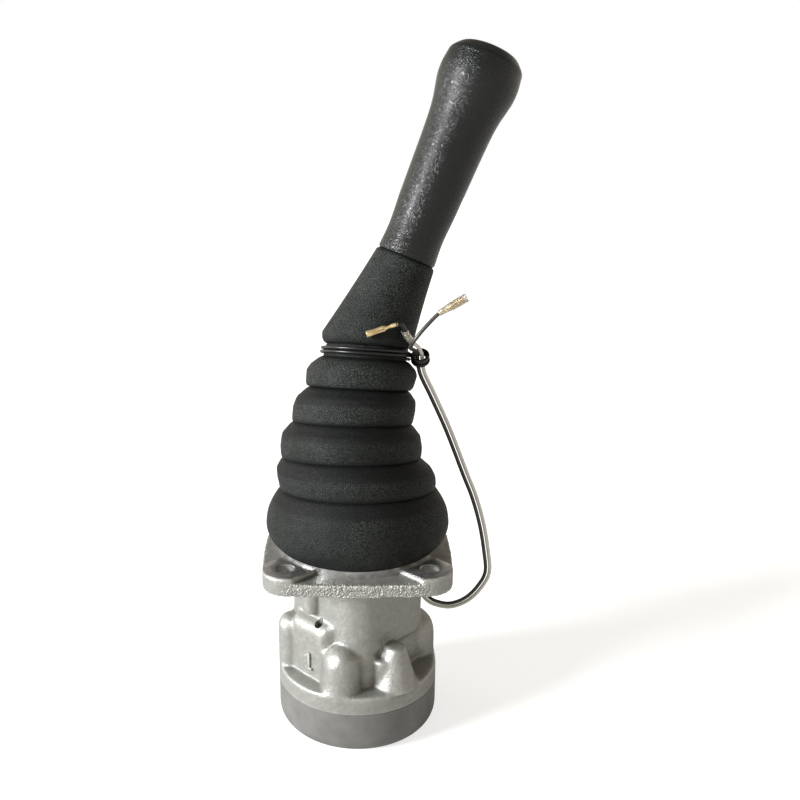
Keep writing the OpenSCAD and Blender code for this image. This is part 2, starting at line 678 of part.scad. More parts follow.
// ---- Boot ----
// Middle of the boot at a height: it leans back and a little to the left, then to the right at the groove
function ease(t) = let (k = min(max(t, 0), 1)) k * k * (3 - 2 * k);
function boot_x(z) = 3.4 * (ease((z - 68) / 32) - ease((z - 42) / 17)) + 4.2 * pow(max(z - 84, 0) / 28, 1.5);
function boot_y(z) = 9.5 * pow(max(z - 20, 0) / 92, 1.4);
function boot_back(z) = 13 * (1 - exp(-pow(max(z - 12, 0) / 28, 1.5)));
function boot_roll(z) = 4 * max(z - 50, 0) / 60;
function boot_point(r, z, a) = let (b = boot_back(z), c = boot_roll(z), x = r * cos(a), y = r * sin(a))
    [boot_x(z) + x * cos(c), boot_y(z) + y * cos(b), z - y * sin(b) - x * sin(c)];

// One fold's outline: round under side to the widest place, then a sloping shoulder up to the next valley
function fold_outline(low_r, low_z, f) = [
    for (t = [0.3, 0.7, 1]) [low_r + (f[0] - low_r) * sin(90 * t), f[1] - (f[1] - low_z) * cos(90 * t)],
    for (t = [0.35, 0.7, 1]) [f[2] + (f[0] - f[2]) * (1 - pow(t, 1.8)), f[1] + (f[3] - f[1]) * pow(t, 0.85)]
];
function boot_outline() = concat(
    [[ring_d / 2 - 1.4, boot_foot_z], [ring_d / 2 + 1.5, boot_foot_z + 1.2]],
    [for (i = [0:len(FOLDS) - 1]) each fold_outline(i == 0 ? ring_d / 2 + 2 : FOLDS[i - 1][2],
        i == 0 ? boot_foot_z + 1.5 : FOLDS[i - 1][3], FOLDS[i])],
    [[groove_r, bend_z + 3.4], [groove_r - 0.6, collar_top_z]]
);
function boot_inner() = concat(
    [[groove_r - 4 * boot_wall, collar_top_z], [groove_r - 4 * boot_wall, bend_z - 5]],
    [for (i = [len(FOLDS) - 1:-1:0]) each [
        if (i < len(FOLDS) - 1) [FOLDS[i][2] - 1.3 * boot_wall, FOLDS[i][3]],
        [FOLDS[i][0] - 1.3 * boot_wall, FOLDS[i][1]]]],
    [[ring_d / 2 - 6.2, boot_foot_z]]
);

module bellows_boot() {
    outline = concat(boot_outline(), boot_inner());
    n = BOOT_SIDES;
    m = len(outline);
    pts = [for (p = outline) for (j = [0:n - 1]) p[1] <= boot_foot_z ? [p[0] * cos(360 * j / n), p[0] * sin(360 * j / n), p[1]]
        : boot_point(p[0], p[1], 360 * j / n)];
    skin = [for (i = [0:m - 1]) for (j = [0:n - 1]) let (a = i * n, b = ((i + 1) % m) * n, k = (j + 1) % n)
        each [[a + j, b + j, b + k], [a + j, b + k, a + k]]];
    color([0.16, 0.17, 0.18]) polyhedron(points = pts, faces = skin);
}

// Tilts children with the boot's top collar
module on_collar(dz) {
    translate([boot_x(bend_z), boot_y(bend_z), bend_z + dz]) rotate([-boot_back(bend_z), boot_roll(bend_z), 0]) children();
}

module boot_sleeve() {
    wide = groove_r + 2.5;
    color([0.15, 0.16, 0.17]) difference() {
        hull() {
            on_collar(6) translate([1.4, 1, 0]) cylinder(r = wide - 2, h = 0.5, $fn = 32);
            on_collar(8.6) translate([1.6, 1, 0]) cylinder(r = wide, h = 3, $fn = 32);
            on_lever(sleeve_len - 2) cylinder(d = grip_foot_d + 1.2, h = 1, $fn = 32);
            on_lever(sleeve_len - 0.3) cylinder(d = grip_foot_d - 0.6, h = 0.3, $fn = 32);
        }
        hull() {
            on_collar(5) cylinder(r = wide - 7, h = 3, $fn = 32);
            on_lever(sleeve_len - 20) cylinder(r = lever_r + 2, h = 1, $fn = 32);
        }
        on_lever(0) cylinder(r = lever_r + RUN, h = sleeve_len + 5);
    }
}

// ---- Tie, grommet, wires and terminals ----
// One length of round tie: two turns in the boot's groove, then three turns round the wires
module boot_tie() {
    tie_r = 0.9;
    pitch = 2 * tie_r + 0.2;
    knot = LOOP[len(LOOP) - 1];
    along = unit(knot - LOOP[len(LOOP) - 2]);
    u = side_of(along);
    v = cross(along, u);
    knot_r = 2 * wire_r + 2 * tie_r;
    turns = [for (a = [-8:15:712]) boot_point(groove_r + SOFT + tie_r + 0.15, bend_z + pitch * (a / 360 - 0.2), a)];
    knot_turns = [for (a = [0:36:1080]) knot + knot_r * (cos(a) * u + sin(a) * v) - (0.5 + pitch * a / 360) * along];
    color([0.04, 0.04, 0.04]) swept_tube(concat(turns, knot_turns), tie_r, 6);
}

module grommet() {
    face = rod_circle_r / sqrt(2) + neck_lobe_r;
    color([0.07, 0.07, 0.07]) rotate([0, 0, exit_angle]) translate([0, 0, exit_z]) rotate([0, 90, 0]) difference() {
        union() {
            translate([0, 0, exit_r + 2]) cylinder(r = passage_r + 0.95, h = face - exit_r - 1);
            translate([0, 0, face]) cylinder(r1 = passage_r + 2.8, r2 = passage_r + 1, h = 3.6);
        }
        translate([0, 0, exit_r]) cylinder(r = wire_d + pair_gap + 0.3, h = 20);
    }
}

module wire(tail, d) {
    route = concat(beside(smooth(LOOP, 2), d), tail);
    swept_tube(route, wire_r, 8);
}

module black_wire() {
    color([0.05, 0.05, 0.05]) wire(BLACK_TAIL, wire_r + pair_gap);
}

module white_wire() {
    color([0.9, 0.9, 0.88]) wire(WHITE_TAIL, -wire_r - pair_gap);
}

module boot_lead() {
    color([0.08, 0.08, 0.08]) swept_tube(smooth(LEAD, 2), lead_d / 2, 8);
}

module sleeved_terminal() {
    a = BLACK_TAIL[len(BLACK_TAIL) - 1];
    b = a + [14, -1, 8.5];
    color([0.85, 0.85, 0.8]) rod_between(a + 0.2 * unit(b - a), b, 2.3);
}

module open_terminal() {
    a = WHITE_TAIL[len(WHITE_TAIL) - 1];
    b = a + [-15.5, -1.5, -5];
    h = unit(b - a);
    color([0.8, 0.62, 0.3]) {
        rod_between(a + 0.8 * h, a + 6 * h, 1.3);
        rod_between(a + 5 * h, b, 1.9);
    }
}

casing();
port_plate();
port_plate_screws();
locating_pin();
port_plate_seals();
retaining_plate();
guide_plug(0);  // guide_plug_1
guide_plug(1);  // guide_plug_2
guide_plug(2);  // guide_plug_3
guide_plug(3);  // guide_plug_4
plug_o_rings();
rod_seals();
push_rod(0);  // push_rod_1
push_rod(1);  // push_rod_2
push_rod(2);  // push_rod_3
push_rod(3);  // push_rod_4
spring_seat(0);  // spring_seat_1
spring_seat(1);  // spring_seat_2
spring_seat(2);  // spring_seat_3
spring_seat(3);  // spring_seat_4
return_spring(0);  // return_spring_1
return_spring(1);  // return_spring_2
return_spring(2);  // return_spring_3
return_spring(3);  // return_spring_4
metering_spring(0);  // metering_spring_1
metering_spring(1);  // metering_spring_2
metering_spring(2);  // metering_spring_3
metering_spring(3);  // metering_spring_4
spool(0);  // spool_1
spool(1);  // spool_2
spool(2);  // spool_3
spool(3);  // spool_4
lower_yoke();
joint_cross();
upper_yoke();
swash_disc();
adjusting_nut();
lock_nut();
lever_tube();
bellows_boot();
boot_sleeve();
grip();
horn_button();
button_bezel();
button_spring();
horn_switch();
lever_lead();
boot_lead();
grommet();
boot_tie();
black_wire();
white_wire();
sleeved_terminal();
open_terminal();
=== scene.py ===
# Looks of the pilot joystick valve: rubber boot, moulded grip, sand-cast casing and its two wires,
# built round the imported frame. Lengths are in millimetres until a piece is made.
import math
import bmesh
import bpy
import numpy as np
from mathutils import Matrix, Vector, noise


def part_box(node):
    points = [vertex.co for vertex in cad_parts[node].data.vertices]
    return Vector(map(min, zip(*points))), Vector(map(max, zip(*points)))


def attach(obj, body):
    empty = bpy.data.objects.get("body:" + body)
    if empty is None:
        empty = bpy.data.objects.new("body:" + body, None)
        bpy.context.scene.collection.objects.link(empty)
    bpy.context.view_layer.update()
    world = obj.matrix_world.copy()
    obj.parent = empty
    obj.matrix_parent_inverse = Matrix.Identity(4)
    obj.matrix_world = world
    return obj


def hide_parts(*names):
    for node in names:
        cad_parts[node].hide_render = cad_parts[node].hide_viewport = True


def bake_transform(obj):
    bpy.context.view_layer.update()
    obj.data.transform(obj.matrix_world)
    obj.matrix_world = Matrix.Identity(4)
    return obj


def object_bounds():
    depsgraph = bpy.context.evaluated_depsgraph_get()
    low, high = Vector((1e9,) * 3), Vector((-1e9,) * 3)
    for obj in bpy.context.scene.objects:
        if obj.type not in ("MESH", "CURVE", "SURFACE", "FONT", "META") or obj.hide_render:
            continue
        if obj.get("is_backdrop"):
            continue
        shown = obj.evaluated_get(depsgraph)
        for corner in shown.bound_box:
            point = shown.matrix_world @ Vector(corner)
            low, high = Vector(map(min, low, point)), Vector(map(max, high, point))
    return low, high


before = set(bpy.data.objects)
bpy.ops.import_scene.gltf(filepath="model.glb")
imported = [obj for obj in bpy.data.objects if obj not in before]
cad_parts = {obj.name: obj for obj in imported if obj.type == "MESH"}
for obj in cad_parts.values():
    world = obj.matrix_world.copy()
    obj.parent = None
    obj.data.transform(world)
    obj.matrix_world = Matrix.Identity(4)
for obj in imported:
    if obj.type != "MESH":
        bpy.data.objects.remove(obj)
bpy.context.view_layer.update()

MM = 0.001
UP = np.array([0.0, 0.0, 1.0])

# ---- Sizes shared with the part's source ----
SEAM_Z, BASE_Z, FOOT_TOP_Z, BASE_R, EDGE_R = -72, -97, -62, 45, 8.5
FLANGE_REACH, FLANGE_T, FLANGE_CORNER, SIDE_BOW = 51.5, 7, 13, 400
PAD_TOP_Z, PAD_HALF, BOLT_AT, BOLT_R = 10, 11.5, 37.5, 4.5
RING_R, RING_TOP_Z, RECESS_R, RECESS_Z = 44, 11.5, 36.5, 3
ROD_CIRCLE, LOBE_R, BLOCK_Z = 21, 15, -42
BEND = np.array([4.5, 9.5, 112])
LEAN, TURN = math.radians(23.1), math.radians(16.7)
SLEEVE_LEN, LEVER_END = 56, 116
GROOVE_R, COLLAR_Z = 22.3, 117
# The folds, from below: widest radius and its height, then the radius and height of the crease above
FOLDS = [(50.2, 20, 41.6, 40.5), (43, 46, 37, 57), (38.4, 62.5, 31.6, 76), (33, 83, 26.2, 94.5),
         (29.6, 102, GROOVE_R, 110.5)]
LOOP = [(19, 19, -16), (24, 24, -16.5), (31, 29, -23), (37, 29, -35), (42.5, 27, -41.5), (48, 26, -44),
        (56, 25, -44.5), (65, 23, -39.5), (72, 21, -30.5), (76, 19, -20), (74.5, 17, -6), (71, 15, 12), (66, 14, 29),
        (60, 13, 44), (50, 11.5, 69.5), (40.5, 9, 90.5), (34.5, 6, 103.5), (32.8, 3.6, 114)]
BLACK_TAIL = [(29.5, -1.5, 117.5), (27.2, -7.5, 120), (28.5, -12, 124), (33, -12.5, 130), (38, -12, 135.5),
              (41, -12, 138.5)]
WHITE_TAIL = [(32, -0.5, 118.8), (28, -6.5, 123), (25, -9.5, 127), (23.5, -11.3, 130.5), (22, -13.2, 133),
              (20, -14.2, 133.5)]
LEAD = [(18.1, 18.1, -16), (17.2, 17.2, -15), (17, 17, -12.5), (17, 17, 4), (18.5, 18.5, 11), (24, 24, 20),
        (26, 26, 34), (21, 23, 50), (11, 15, 61), (6.6, 10.8, 67.2), (4.8, 8.3, 68.4)]
LEAD_R, WIRE_R, WIRE_APART, TIE_R = 1.95, 1.04, 1.25, 0.88


# ---- Nodes and materials ----
RINGS_PER_SCALE = 6.3       # a wave texture repeats this often for each unit of its scale


def linear(code):
    """An sRGB hex colour as linear values."""
    parts = [int(code[i:i + 2], 16) / 255 for i in (1, 3, 5)]
    return [c / 12.92 if c <= 0.04045 else ((c + 0.055) / 1.055) ** 2.4 for c in parts] + [1]


def add(tree, kind, inputs=None, **settings):
    """Adds a node with its settings, values and links."""
    made = tree.nodes.new(kind)
    for name, value in settings.items():
        setattr(made, name, value)
    for name, value in (inputs or {}).items():
        if isinstance(value, bpy.types.NodeSocket):
            tree.links.new(value, made.inputs[name])
        else:
            made.inputs[name].default_value = value
    return made


def material(name, **sockets):
    """A material with one plain shader; its tree, shader and object coordinates come back too."""
    made = bpy.data.materials.new(name)
    made.use_nodes = True
    tree = made.node_tree
    tree.nodes.clear()
    shader = add(tree, "ShaderNodeBsdfPrincipled", sockets)
    add(tree, "ShaderNodeOutputMaterial", {"Surface": shader.outputs[0]})
    place = add(tree, "ShaderNodeTexCoord").outputs["Object"]
    return made, tree, shader, place


def patches(tree, place, size, low, high, detail=3.0):
    """Soft patches about `size` millimetres wide, as a value from low to high."""
    grain = add(tree, "ShaderNodeTexNoise", {"Vector": place, "Scale": 1 / (size * MM), "Detail": detail})
    return add(tree, "ShaderNodeMapRange", {"Value": grain.outputs[0], "From Min": 0.3, "From Max": 0.7,
                                            "To Min": low, "To Max": high}).outputs[0]


def two_tone(tree, shader, share, dark, pale):
    """Colours the shader between two sRGB colours by a share."""
    mixed = add(tree, "ShaderNodeMix", {0: share, 6: linear(dark), 7: linear(pale)}, data_type="RGBA")
    tree.links.new(mixed.outputs[2], shader.inputs["Base Color"])
    return mixed


def relief(tree, shader, layers):
    """Stacks bumps on the shader; each layer is a height value, its depth in millimetres and its strength."""
    normal = None
    for height, depth, strength in layers:
        sockets = {"Height": height, "Distance": depth * MM, "Strength": strength}
        if normal:
            sockets["Normal"] = normal
        normal = add(tree, "ShaderNodeBump", sockets).outputs[0]
    tree.links.new(normal, shader.inputs["Normal"])


def pebbles(tree, place, spacing, stray=0.35):
    """Leather grain: rounded pebbles `spacing` millimetres apart between creases, as a height."""
    waver = add(tree, "ShaderNodeTexNoise", {"Vector": place, "Scale": 1 / (2.5 * spacing * MM), "Detail": 2.0})
    shifted = add(tree, "ShaderNodeVectorMath", {0: waver.outputs[1], 1: (stray * spacing * MM,) * 3, 2: place},
                  operation="MULTIPLY_ADD")
    cells = add(tree, "ShaderNodeTexVoronoi", {"Vector": shifted.outputs[0], "Scale": 1 / (spacing * MM)},
                feature="DISTANCE_TO_EDGE")
    return add(tree, "ShaderNodeMapRange", {"Value": cells.outputs[0], "From Max": 0.3},
               interpolation_type="SMOOTHSTEP").outputs[0]


def leathered(name, dark, pale, rough, spacing, depth, bloom_size=14, bloom_and_painted_shade=None, **sockets):
    """A moulded dark skin with leather grain, a little bloom on the pebbles' tops and uneven gloss. Where the
    piece has an attribute of bloom and painted shade, the bloom shows on the bands that hands and sleeves rub, and
    painted shade keeps the creases and shoulders black."""
    made, tree, shader, place = material(name, **sockets)
    grain = pebbles(tree, place, spacing)
    bloom = patches(tree, place, bloom_size, 0.35, 1.0)
    share = add(tree, "ShaderNodeMath", {0: grain, 1: bloom}, operation="MULTIPLY").outputs[0]
    # The attribute scales the bloom's share; where it is low, shade is painted into the creases and under the
    # shoulders.
    if bloom_and_painted_shade:
        paleness_with_painted_shade = add(tree, "ShaderNodeAttribute", attribute_name=bloom_and_painted_shade).outputs["Fac"]
        share = add(tree, "ShaderNodeMath", {0: share, 1: paleness_with_painted_shade}, operation="MULTIPLY").outputs[0]
    two_tone(tree, shader, share, dark, pale)
    gloss = patches(tree, place, 2.2, rough - 0.05, rough + 0.07)
    tree.links.new(gloss, shader.inputs["Roughness"])
    relief(tree, shader, [(patches(tree, place, 9, 0, 1), 0.12, 0.4), (grain, depth, 0.7),
                          (patches(tree, place, 0.5, 0, 1), 0.03, 0.35)])
    return made


def turned_metal(name, dark, pale, rough, groove=0.35):
    """Turned or ground metal: tool marks round the vertical axis, and gloss gone uneven with wear. Real marks are about
    a tenth of a millimetre apart and wouldn't show, so they are drawn coarser."""
    made, tree, shader, place = material(name, Metallic=1.0)
    two_tone(tree, shader, patches(tree, place, 3, 0, 1), dark, pale)
    tree.links.new(patches(tree, place, 1.5, rough - 0.06, rough + 0.08), shader.inputs["Roughness"])
    rings = add(tree, "ShaderNodeTexWave", {"Vector": place, "Scale": 1 / (groove * MM * RINGS_PER_SCALE),
                                            "Distortion": 0.6, "Detail": 2.0},
                wave_type="RINGS", rings_direction="Z").outputs[1]
    relief(tree, shader, [(rings, 0.02, 0.25), (patches(tree, place, 0.8, 0, 1), 0.02, 0.3)])
    return made


def moulded(name, dark, pale, rough, size=0.6, depth=0.02, metallic=0.0):
    """Moulded or drawn stuff with a faint skin, slight mottling and uneven gloss."""
    made, tree, shader, place = material(name, Metallic=metallic)
    two_tone(tree, shader, patches(tree, place, 2.5, 0, 1), dark, pale)
    tree.links.new(patches(tree, place, 1.2, rough - 0.05, rough + 0.07), shader.inputs["Roughness"])
    relief(tree, shader, [(patches(tree, place, size, 0, 1), depth, 0.4)])
    return made


def cast_aluminium():
    """Aluminium sand casting: the sand leaves a grit of about half a millimetre, coarser where the mould parted,
    and the skin is a pale dull silver, with painted shade in the hollows and lighter on the corners."""
    made, tree, shader, place = material("sand_cast_aluminium", Metallic=0.6)
    # Pointiness paints shade into the hollows and lightens the corners.
    paleness_with_painted_shade = add(tree, "ShaderNodeMapRange", {"Value": add(tree, "ShaderNodeNewGeometry").outputs["Pointiness"],
                                              "From Min": 0.45, "From Max": 0.53}).outputs[0]
    mottle = patches(tree, place, 2.5, 0.7, 1)
    share = add(tree, "ShaderNodeMath", {0: paleness_with_painted_shade, 1: mottle}, operation="MULTIPLY").outputs[0]
    two_tone(tree, shader, share, "#737370", "#b2b3ae")
    tree.links.new(patches(tree, place, 1.5, 0.38, 0.52), shader.inputs["Roughness"])
    coarse = add(tree, "ShaderNodeAttribute", attribute_name="coarse").outputs["Fac"]
    grit = patches(tree, place, 0.6, 0, 1, detail=4.0)
    lumps = add(tree, "ShaderNodeMath", {0: patches(tree, place, 1.1, 0, 1, detail=4.0), 1: coarse},
                operation="MULTIPLY").outputs[0]
    relief(tree, shader, [(patches(tree, place, 4, 0, 1), 0.12, 0.35), (grit, 0.14, 0.5), (lumps, 0.6, 1.0)])
    return made


def machined_aluminium():
    """The same casting after facing in a lathe: bright rings four tenths of a millimetre apart, some sand left."""
    made, tree, shader, place = material("machined_aluminium", Metallic=0.85)
    two_tone(tree, shader, patches(tree, place, 4, 0, 1), "#949493", "#c0c0bf")
    tree.links.new(patches(tree, place, 1.6, 0.26, 0.4), shader.inputs["Roughness"])
    rings = add(tree, "ShaderNodeTexWave", {"Vector": place, "Scale": 1 / (0.4 * MM * RINGS_PER_SCALE),
                                            "Distortion": 0.8, "Detail": 2.0},
                wave_type="RINGS", rings_direction="Z").outputs[1]
    relief(tree, shader, [(rings, 0.03, 0.3), (patches(tree, place, 0.9, 0, 1), 0.05, 0.35)])
    return made


def blasted_aluminium():
    """The port plate's aluminium: cast, skimmed and grit-blasted, so it is a duller, evener grey."""
    made, tree, shader, place = material("blasted_aluminium", Metallic=0.35)
    two_tone(tree, shader, patches(tree, place, 9, 0, 1), "#6f6f6d", "#7c7c7a")
    tree.links.new(patches(tree, place, 2, 0.42, 0.54), shader.inputs["Roughness"])
    relief(tree, shader, [(patches(tree, place, 5, 0, 1), 0.1, 0.3), (patches(tree, place, 0.8, 0, 1), 0.05, 0.4)])
    return made


def clear_vinyl():
    """Clear soft PVC sleeve: slightly yellow, glossy, and scuffed enough to blur what lies in it."""
    made, tree, shader, place = material("clear_vinyl_sleeve", IOR=1.53, **{"Transmission Weight": 0.92})
    two_tone(tree, shader, patches(tree, place, 3, 0, 1), "#ece8dc", "#fbf9f2")
    tree.links.new(patches(tree, place, 1.5, 0.14, 0.3), shader.inputs["Roughness"])
    relief(tree, shader, [(patches(tree, place, 1.2, 0, 1), 0.05, 0.4)])
    return made


CAST = cast_aluminium()
MACHINED = machined_aluminium()
BLASTED = blasted_aluminium()
CLEAR = clear_vinyl()
# Nitrile rubber boot, moulded: matt charcoal with a leather grain 1.1 mm wide, a grey bloom on the bands, and painted
# shade in the creases and under the shoulders
RUBBER = leathered("moulded_nitrile_rubber", "#0f1211", "#464b48", 0.56, 1.1, 0.24, bloom_and_painted_shade="bloom_and_painted_shade",
                   **{"Specular IOR Level": 0.16})
# Grip of glass-filled nylon, moulded: the same grain but finer, and a satin gloss that catches the light in a line
GRIP = leathered("moulded_black_nylon", "#131615", "#212524", 0.26, 0.85, 0.12, 30, **{"Specular IOR Level": 0.34})
# Horn button of red acetal, moulded in a polished tool: smooth and glossy
RED = moulded("moulded_red_acetal", "#7d130e", "#8f1a13", 0.28)
# Switch housing and bezel of black ABS, moulded: even, half gloss
BLACK_ABS = moulded("moulded_black_abs", "#151516", "#1e1e1f", 0.38)
# Wire insulation of soft PVC, extruded: satin, nearly even
BLACK_PVC = moulded("extruded_black_pvc", "#31302b", "#3f3e38", 0.34)
WHITE_PVC = moulded("extruded_white_pvc", "#efeee6", "#f7f6f0", 0.36)
# Heat-shrink tube of polyolefin, shrunk on: black, satin
SHRINK = moulded("shrunk_black_polyolefin", "#161616", "#222221", 0.42)
# Tie cord of polyethylene, extruded: black, with a bright line along each turn
TIE = moulded("extruded_black_polyethylene", "#0c0c0c", "#161616", 0.33)
# O-rings, seals and grommet of nitrile, moulded: matt black
SEAL = moulded("moulded_seal_nitrile", "#121213", "#1c1c1d", 0.6)
# Terminals of stamped and rolled brass: bright pale gold with faint tarnish
BRASS_TERMINAL = moulded("stamped_brass", "#d9b87c", "#f8e7ba", 0.36, size=0.7, depth=0.05, metallic=0.8)
# Guide plugs of free-cutting brass, turned: deeper gold, with fine rings
BRASS = turned_metal("turned_brass", "#a3803e", "#c9a95e", 0.28)
# Push rods, spools, cross and pin of hardened steel, ground: nearly a mirror
GROUND = turned_metal("ground_hardened_steel", "#9da0a3", "#c2c4c6", 0.16, groove=0.15)
# Plate, disc and seats of mild steel, turned: mid grey, with fine rings
TURNED = turned_metal("turned_mild_steel", "#85878a", "#a9abad", 0.3)
# Springs of oil-tempered wire, drawn: a dark grey sheen
SPRING = moulded("drawn_spring_steel", "#55575a", "#75777a", 0.33, metallic=1.0)
# Yokes and lever of forged steel, oil-blackened: nearly black, with a faint scale
FORGED = moulded("blackened_forged_steel", "#2b2d30", "#43464a", 0.42, size=1.2, depth=0.06, metallic=0.85)
# Socket screws of steel under black oxide: dark, half gloss
SCREW = moulded("black_oxide_steel", "#1d1e20", "#303236", 0.4, metallic=0.9)
# Nuts of steel under yellow zinc plate: straw gold, satin
ZINC = moulded("yellow_zinc_steel", "#9b8a4e", "#c2b277", 0.3, metallic=1.0)


# ---- Meshes ----
def mesh_piece(name, points, faces, finish, sharp=40, recalc=True):
    """A piece from points in millimetres, with its faces pointing outwards and its edges sharp past an angle."""
    mesh = bpy.data.meshes.new(name)
    mesh.from_pydata((np.asarray(points, float) * MM).tolist(), [], faces)
    piece = bpy.data.objects.new(name, mesh)
    bpy.context.scene.collection.objects.link(piece)
    mesh.materials.append(finish)
    if recalc:
        tidy_faces(mesh)
    return smoothed(piece, sharp)


def smoothed(piece, sharp):
    """Shades a piece smooth, but for edges sharper than an angle in degrees."""
    piece.data.shade_smooth()
    piece.data.set_sharp_from_angle(angle=math.radians(sharp))
    return piece


def refinished(piece, finish, sharp):
    """Gives a piece one finish all over, with smooth shading."""
    piece.data.materials.clear()
    piece.data.materials.append(finish)
    return smoothed(piece, sharp)


def tidy_faces(mesh):
    """Turns a mesh's faces outwards."""
    body = bmesh.new()
    body.from_mesh(mesh)
    bmesh.ops.recalc_face_normals(body, faces=body.faces)
    body.to_mesh(mesh)
    body.free()


def ring_faces(count, sides, closed):
    """Faces of a tube of `count` rings: closed on itself, or with a face over each end."""
    faces = []
    for i in range(count if closed else count - 1):
        a, b = i * sides, (i + 1) % count * sides
        faces += [(a + j, a + (j + 1) % sides, b + (j + 1) % sides, b + j) for j in range(sides)]
    if not closed:
        faces += [tuple(range(sides))[::-1], tuple(range((count - 1) * sides, count * sides))]
    return faces


def spun(name, outline, finish, sides=96, at=None, closed=True, sharp=40):
    """An outline of (radius, height) turned round the vertical axis, then placed by `at`."""
    angles = np.arange(sides) * 2 * math.pi / sides
    circle = np.stack([np.cos(angles), np.sin(angles), 0 * angles], 1)
    points = np.concatenate([circle * r + UP * z for r, z in outline])
    if at is not None:
        points = moved(at, points)
    return mesh_piece(name, points, ring_faces(len(outline), sides, closed), finish, sharp)


def moved(matrix, points):
    """Points taken through a matrix."""
    points = np.asarray(points, float)
    full = np.array(matrix)
    return points @ full[:3, :3].T + full[:3, 3]


def unit(v):
    """A vector made one long."""
    return v / np.linalg.norm(v)


def smooth_line(points, between):
    """A smooth line through the points, with `between` steps from each to the next."""
    p = np.asarray(points, float)
    line = []
    for i in range(len(p) - 1):
        a, b, c, d = p[max(i - 1, 0)], p[i], p[i + 1], p[min(i + 2, len(p) - 1)]
        for t in np.arange(between) / between:
            line.append(0.5 * (2 * b + (c - a) * t + (2 * a - 5 * b + 4 * c - d) * t * t
                               + (3 * b - a - 3 * c + d) * t ** 3))
    return np.array(line + [p[-1]])


def headings(line):
    """The way that a line runs at each of its points."""
    ends = np.concatenate([line[1:], line[-1:]]) - np.concatenate([line[:1], line[:-1]])
    return ends / np.linalg.norm(ends, axis=1)[:, None]


def rings_along(line, radius, sides):
    """Rings round each point of a line; radius is one number or one for each point."""
    line = np.asarray(line, float)
    rings = []
    for point, ahead, r in zip(line, headings(line), np.broadcast_to(radius, len(line))):
        across = unit(np.cross(ahead, [0.1, 1, 0.05]))
        other = np.cross(ahead, across)
        angles = np.arange(sides) * 2 * math.pi / sides
        rings.append(point + r * (np.outer(np.cos(angles), across) + np.outer(np.sin(angles), other)))
    return rings


def tube(name, line, radius, finish, sides=16, sharp=60):
    """A solid round tube along a line, closed at both ends."""
    rings = rings_along(line, radius, sides)
    return mesh_piece(name, np.concatenate(rings), ring_faces(len(rings), sides, False), finish, sharp)


def pipe(name, line, outer, inner, finish, sides=24):
    """A tube with a wall, open at both ends."""
    rings = rings_along(line, outer, sides) + rings_along(line, inner, sides)[::-1]
    return mesh_piece(name, np.concatenate(rings), ring_faces(len(rings), sides, True), finish, 50)


def applied(piece):
    """Turns a piece's modifiers into its plain mesh."""
    evaluated = piece.evaluated_get(bpy.context.evaluated_depsgraph_get())
    done = bpy.data.meshes.new_from_object(evaluated)
    piece.modifiers.clear()
    old, piece.data = piece.data, done
    bpy.data.meshes.remove(old)
    return piece


def modified(piece, kind, **settings):
    """A piece with one modifier worked into its mesh."""
    modifier = piece.modifiers.new(kind.lower(), kind)
    for name, value in settings.items():
        setattr(modifier, name, value)
    return applied(piece)


def cut_away(piece, *cutters):
    """Cuts the cutters' shapes out of a piece, one after another."""
    for cutter in cutters:
        modified(piece, "BOOLEAN", operation="DIFFERENCE", object=cutter, solver="EXACT")
        bpy.data.objects.remove(cutter)
    return piece


def joined(name, parts):
    """Several meshes as one."""
    body = bmesh.new()
    for part in parts:
        body.from_mesh(part.data)
    mesh = bpy.data.meshes.new(name)
    body.to_mesh(mesh)
    body.free()
    for finish in parts[0].data.materials:
        mesh.materials.append(finish)
    for part in parts:
        bpy.data.objects.remove(part)
    whole = bpy.data.objects.new(name, mesh)
    bpy.context.scene.collection.objects.link(whole)
    return whole


def rod(r, z0, z1, x=0.0, y=0.0, r1=None, sides=48):
    """A plain cylinder or cone for carving with."""
    return spun("carver", [(r, z0), (r if r1 is None else r1, z1)], CAST, sides,
                Matrix.Translation((x, y, 0)), closed=False)


def settle(piece, body, slot, *nodes):
    """Makes a piece ride on a body given by name, or only bakes its place in when given a pair of bodies and two
    heights, and hides the CAD nodes that it stands for. The slot is not used.
    """
    if nodes:
        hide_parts(*nodes)
    if isinstance(body, str):
        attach(piece, body)
    else:
        first, second, start, end = body
        start, end = (np.array(p if np.ndim(p) else (0, 0, p)) * MM for p in (start, end))
        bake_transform(piece)
    return piece


# ---- Pieces grown by Geometry Nodes ----
def growing_tree(name, **inputs):
    """A Geometry Nodes tree with named inputs after its geometry; its input sockets come back too."""
    tree = bpy.data.node_groups.new(name, "GeometryNodeTree")
    tree.interface.new_socket("Geometry", in_out="INPUT", socket_type="NodeSocketGeometry")
    for label, kind in inputs.items():
        tree.interface.new_socket(label, in_out="INPUT", socket_type=kind)
    tree.interface.new_socket("Geometry", in_out="OUTPUT", socket_type="NodeSocketGeometry")
    return tree, add(tree, "NodeGroupInput").outputs


def close_tree(tree, mesh, finish):
    """Ends a tree with real meshes in their finish."""
    real = add(tree, "GeometryNodeRealizeInstances", {0: mesh}).outputs[0]
    dressed = add(tree, "GeometryNodeSetMaterial", {"Geometry": real, "Material": finish}).outputs[0]
    add(tree, "NodeGroupOutput", {0: dressed})


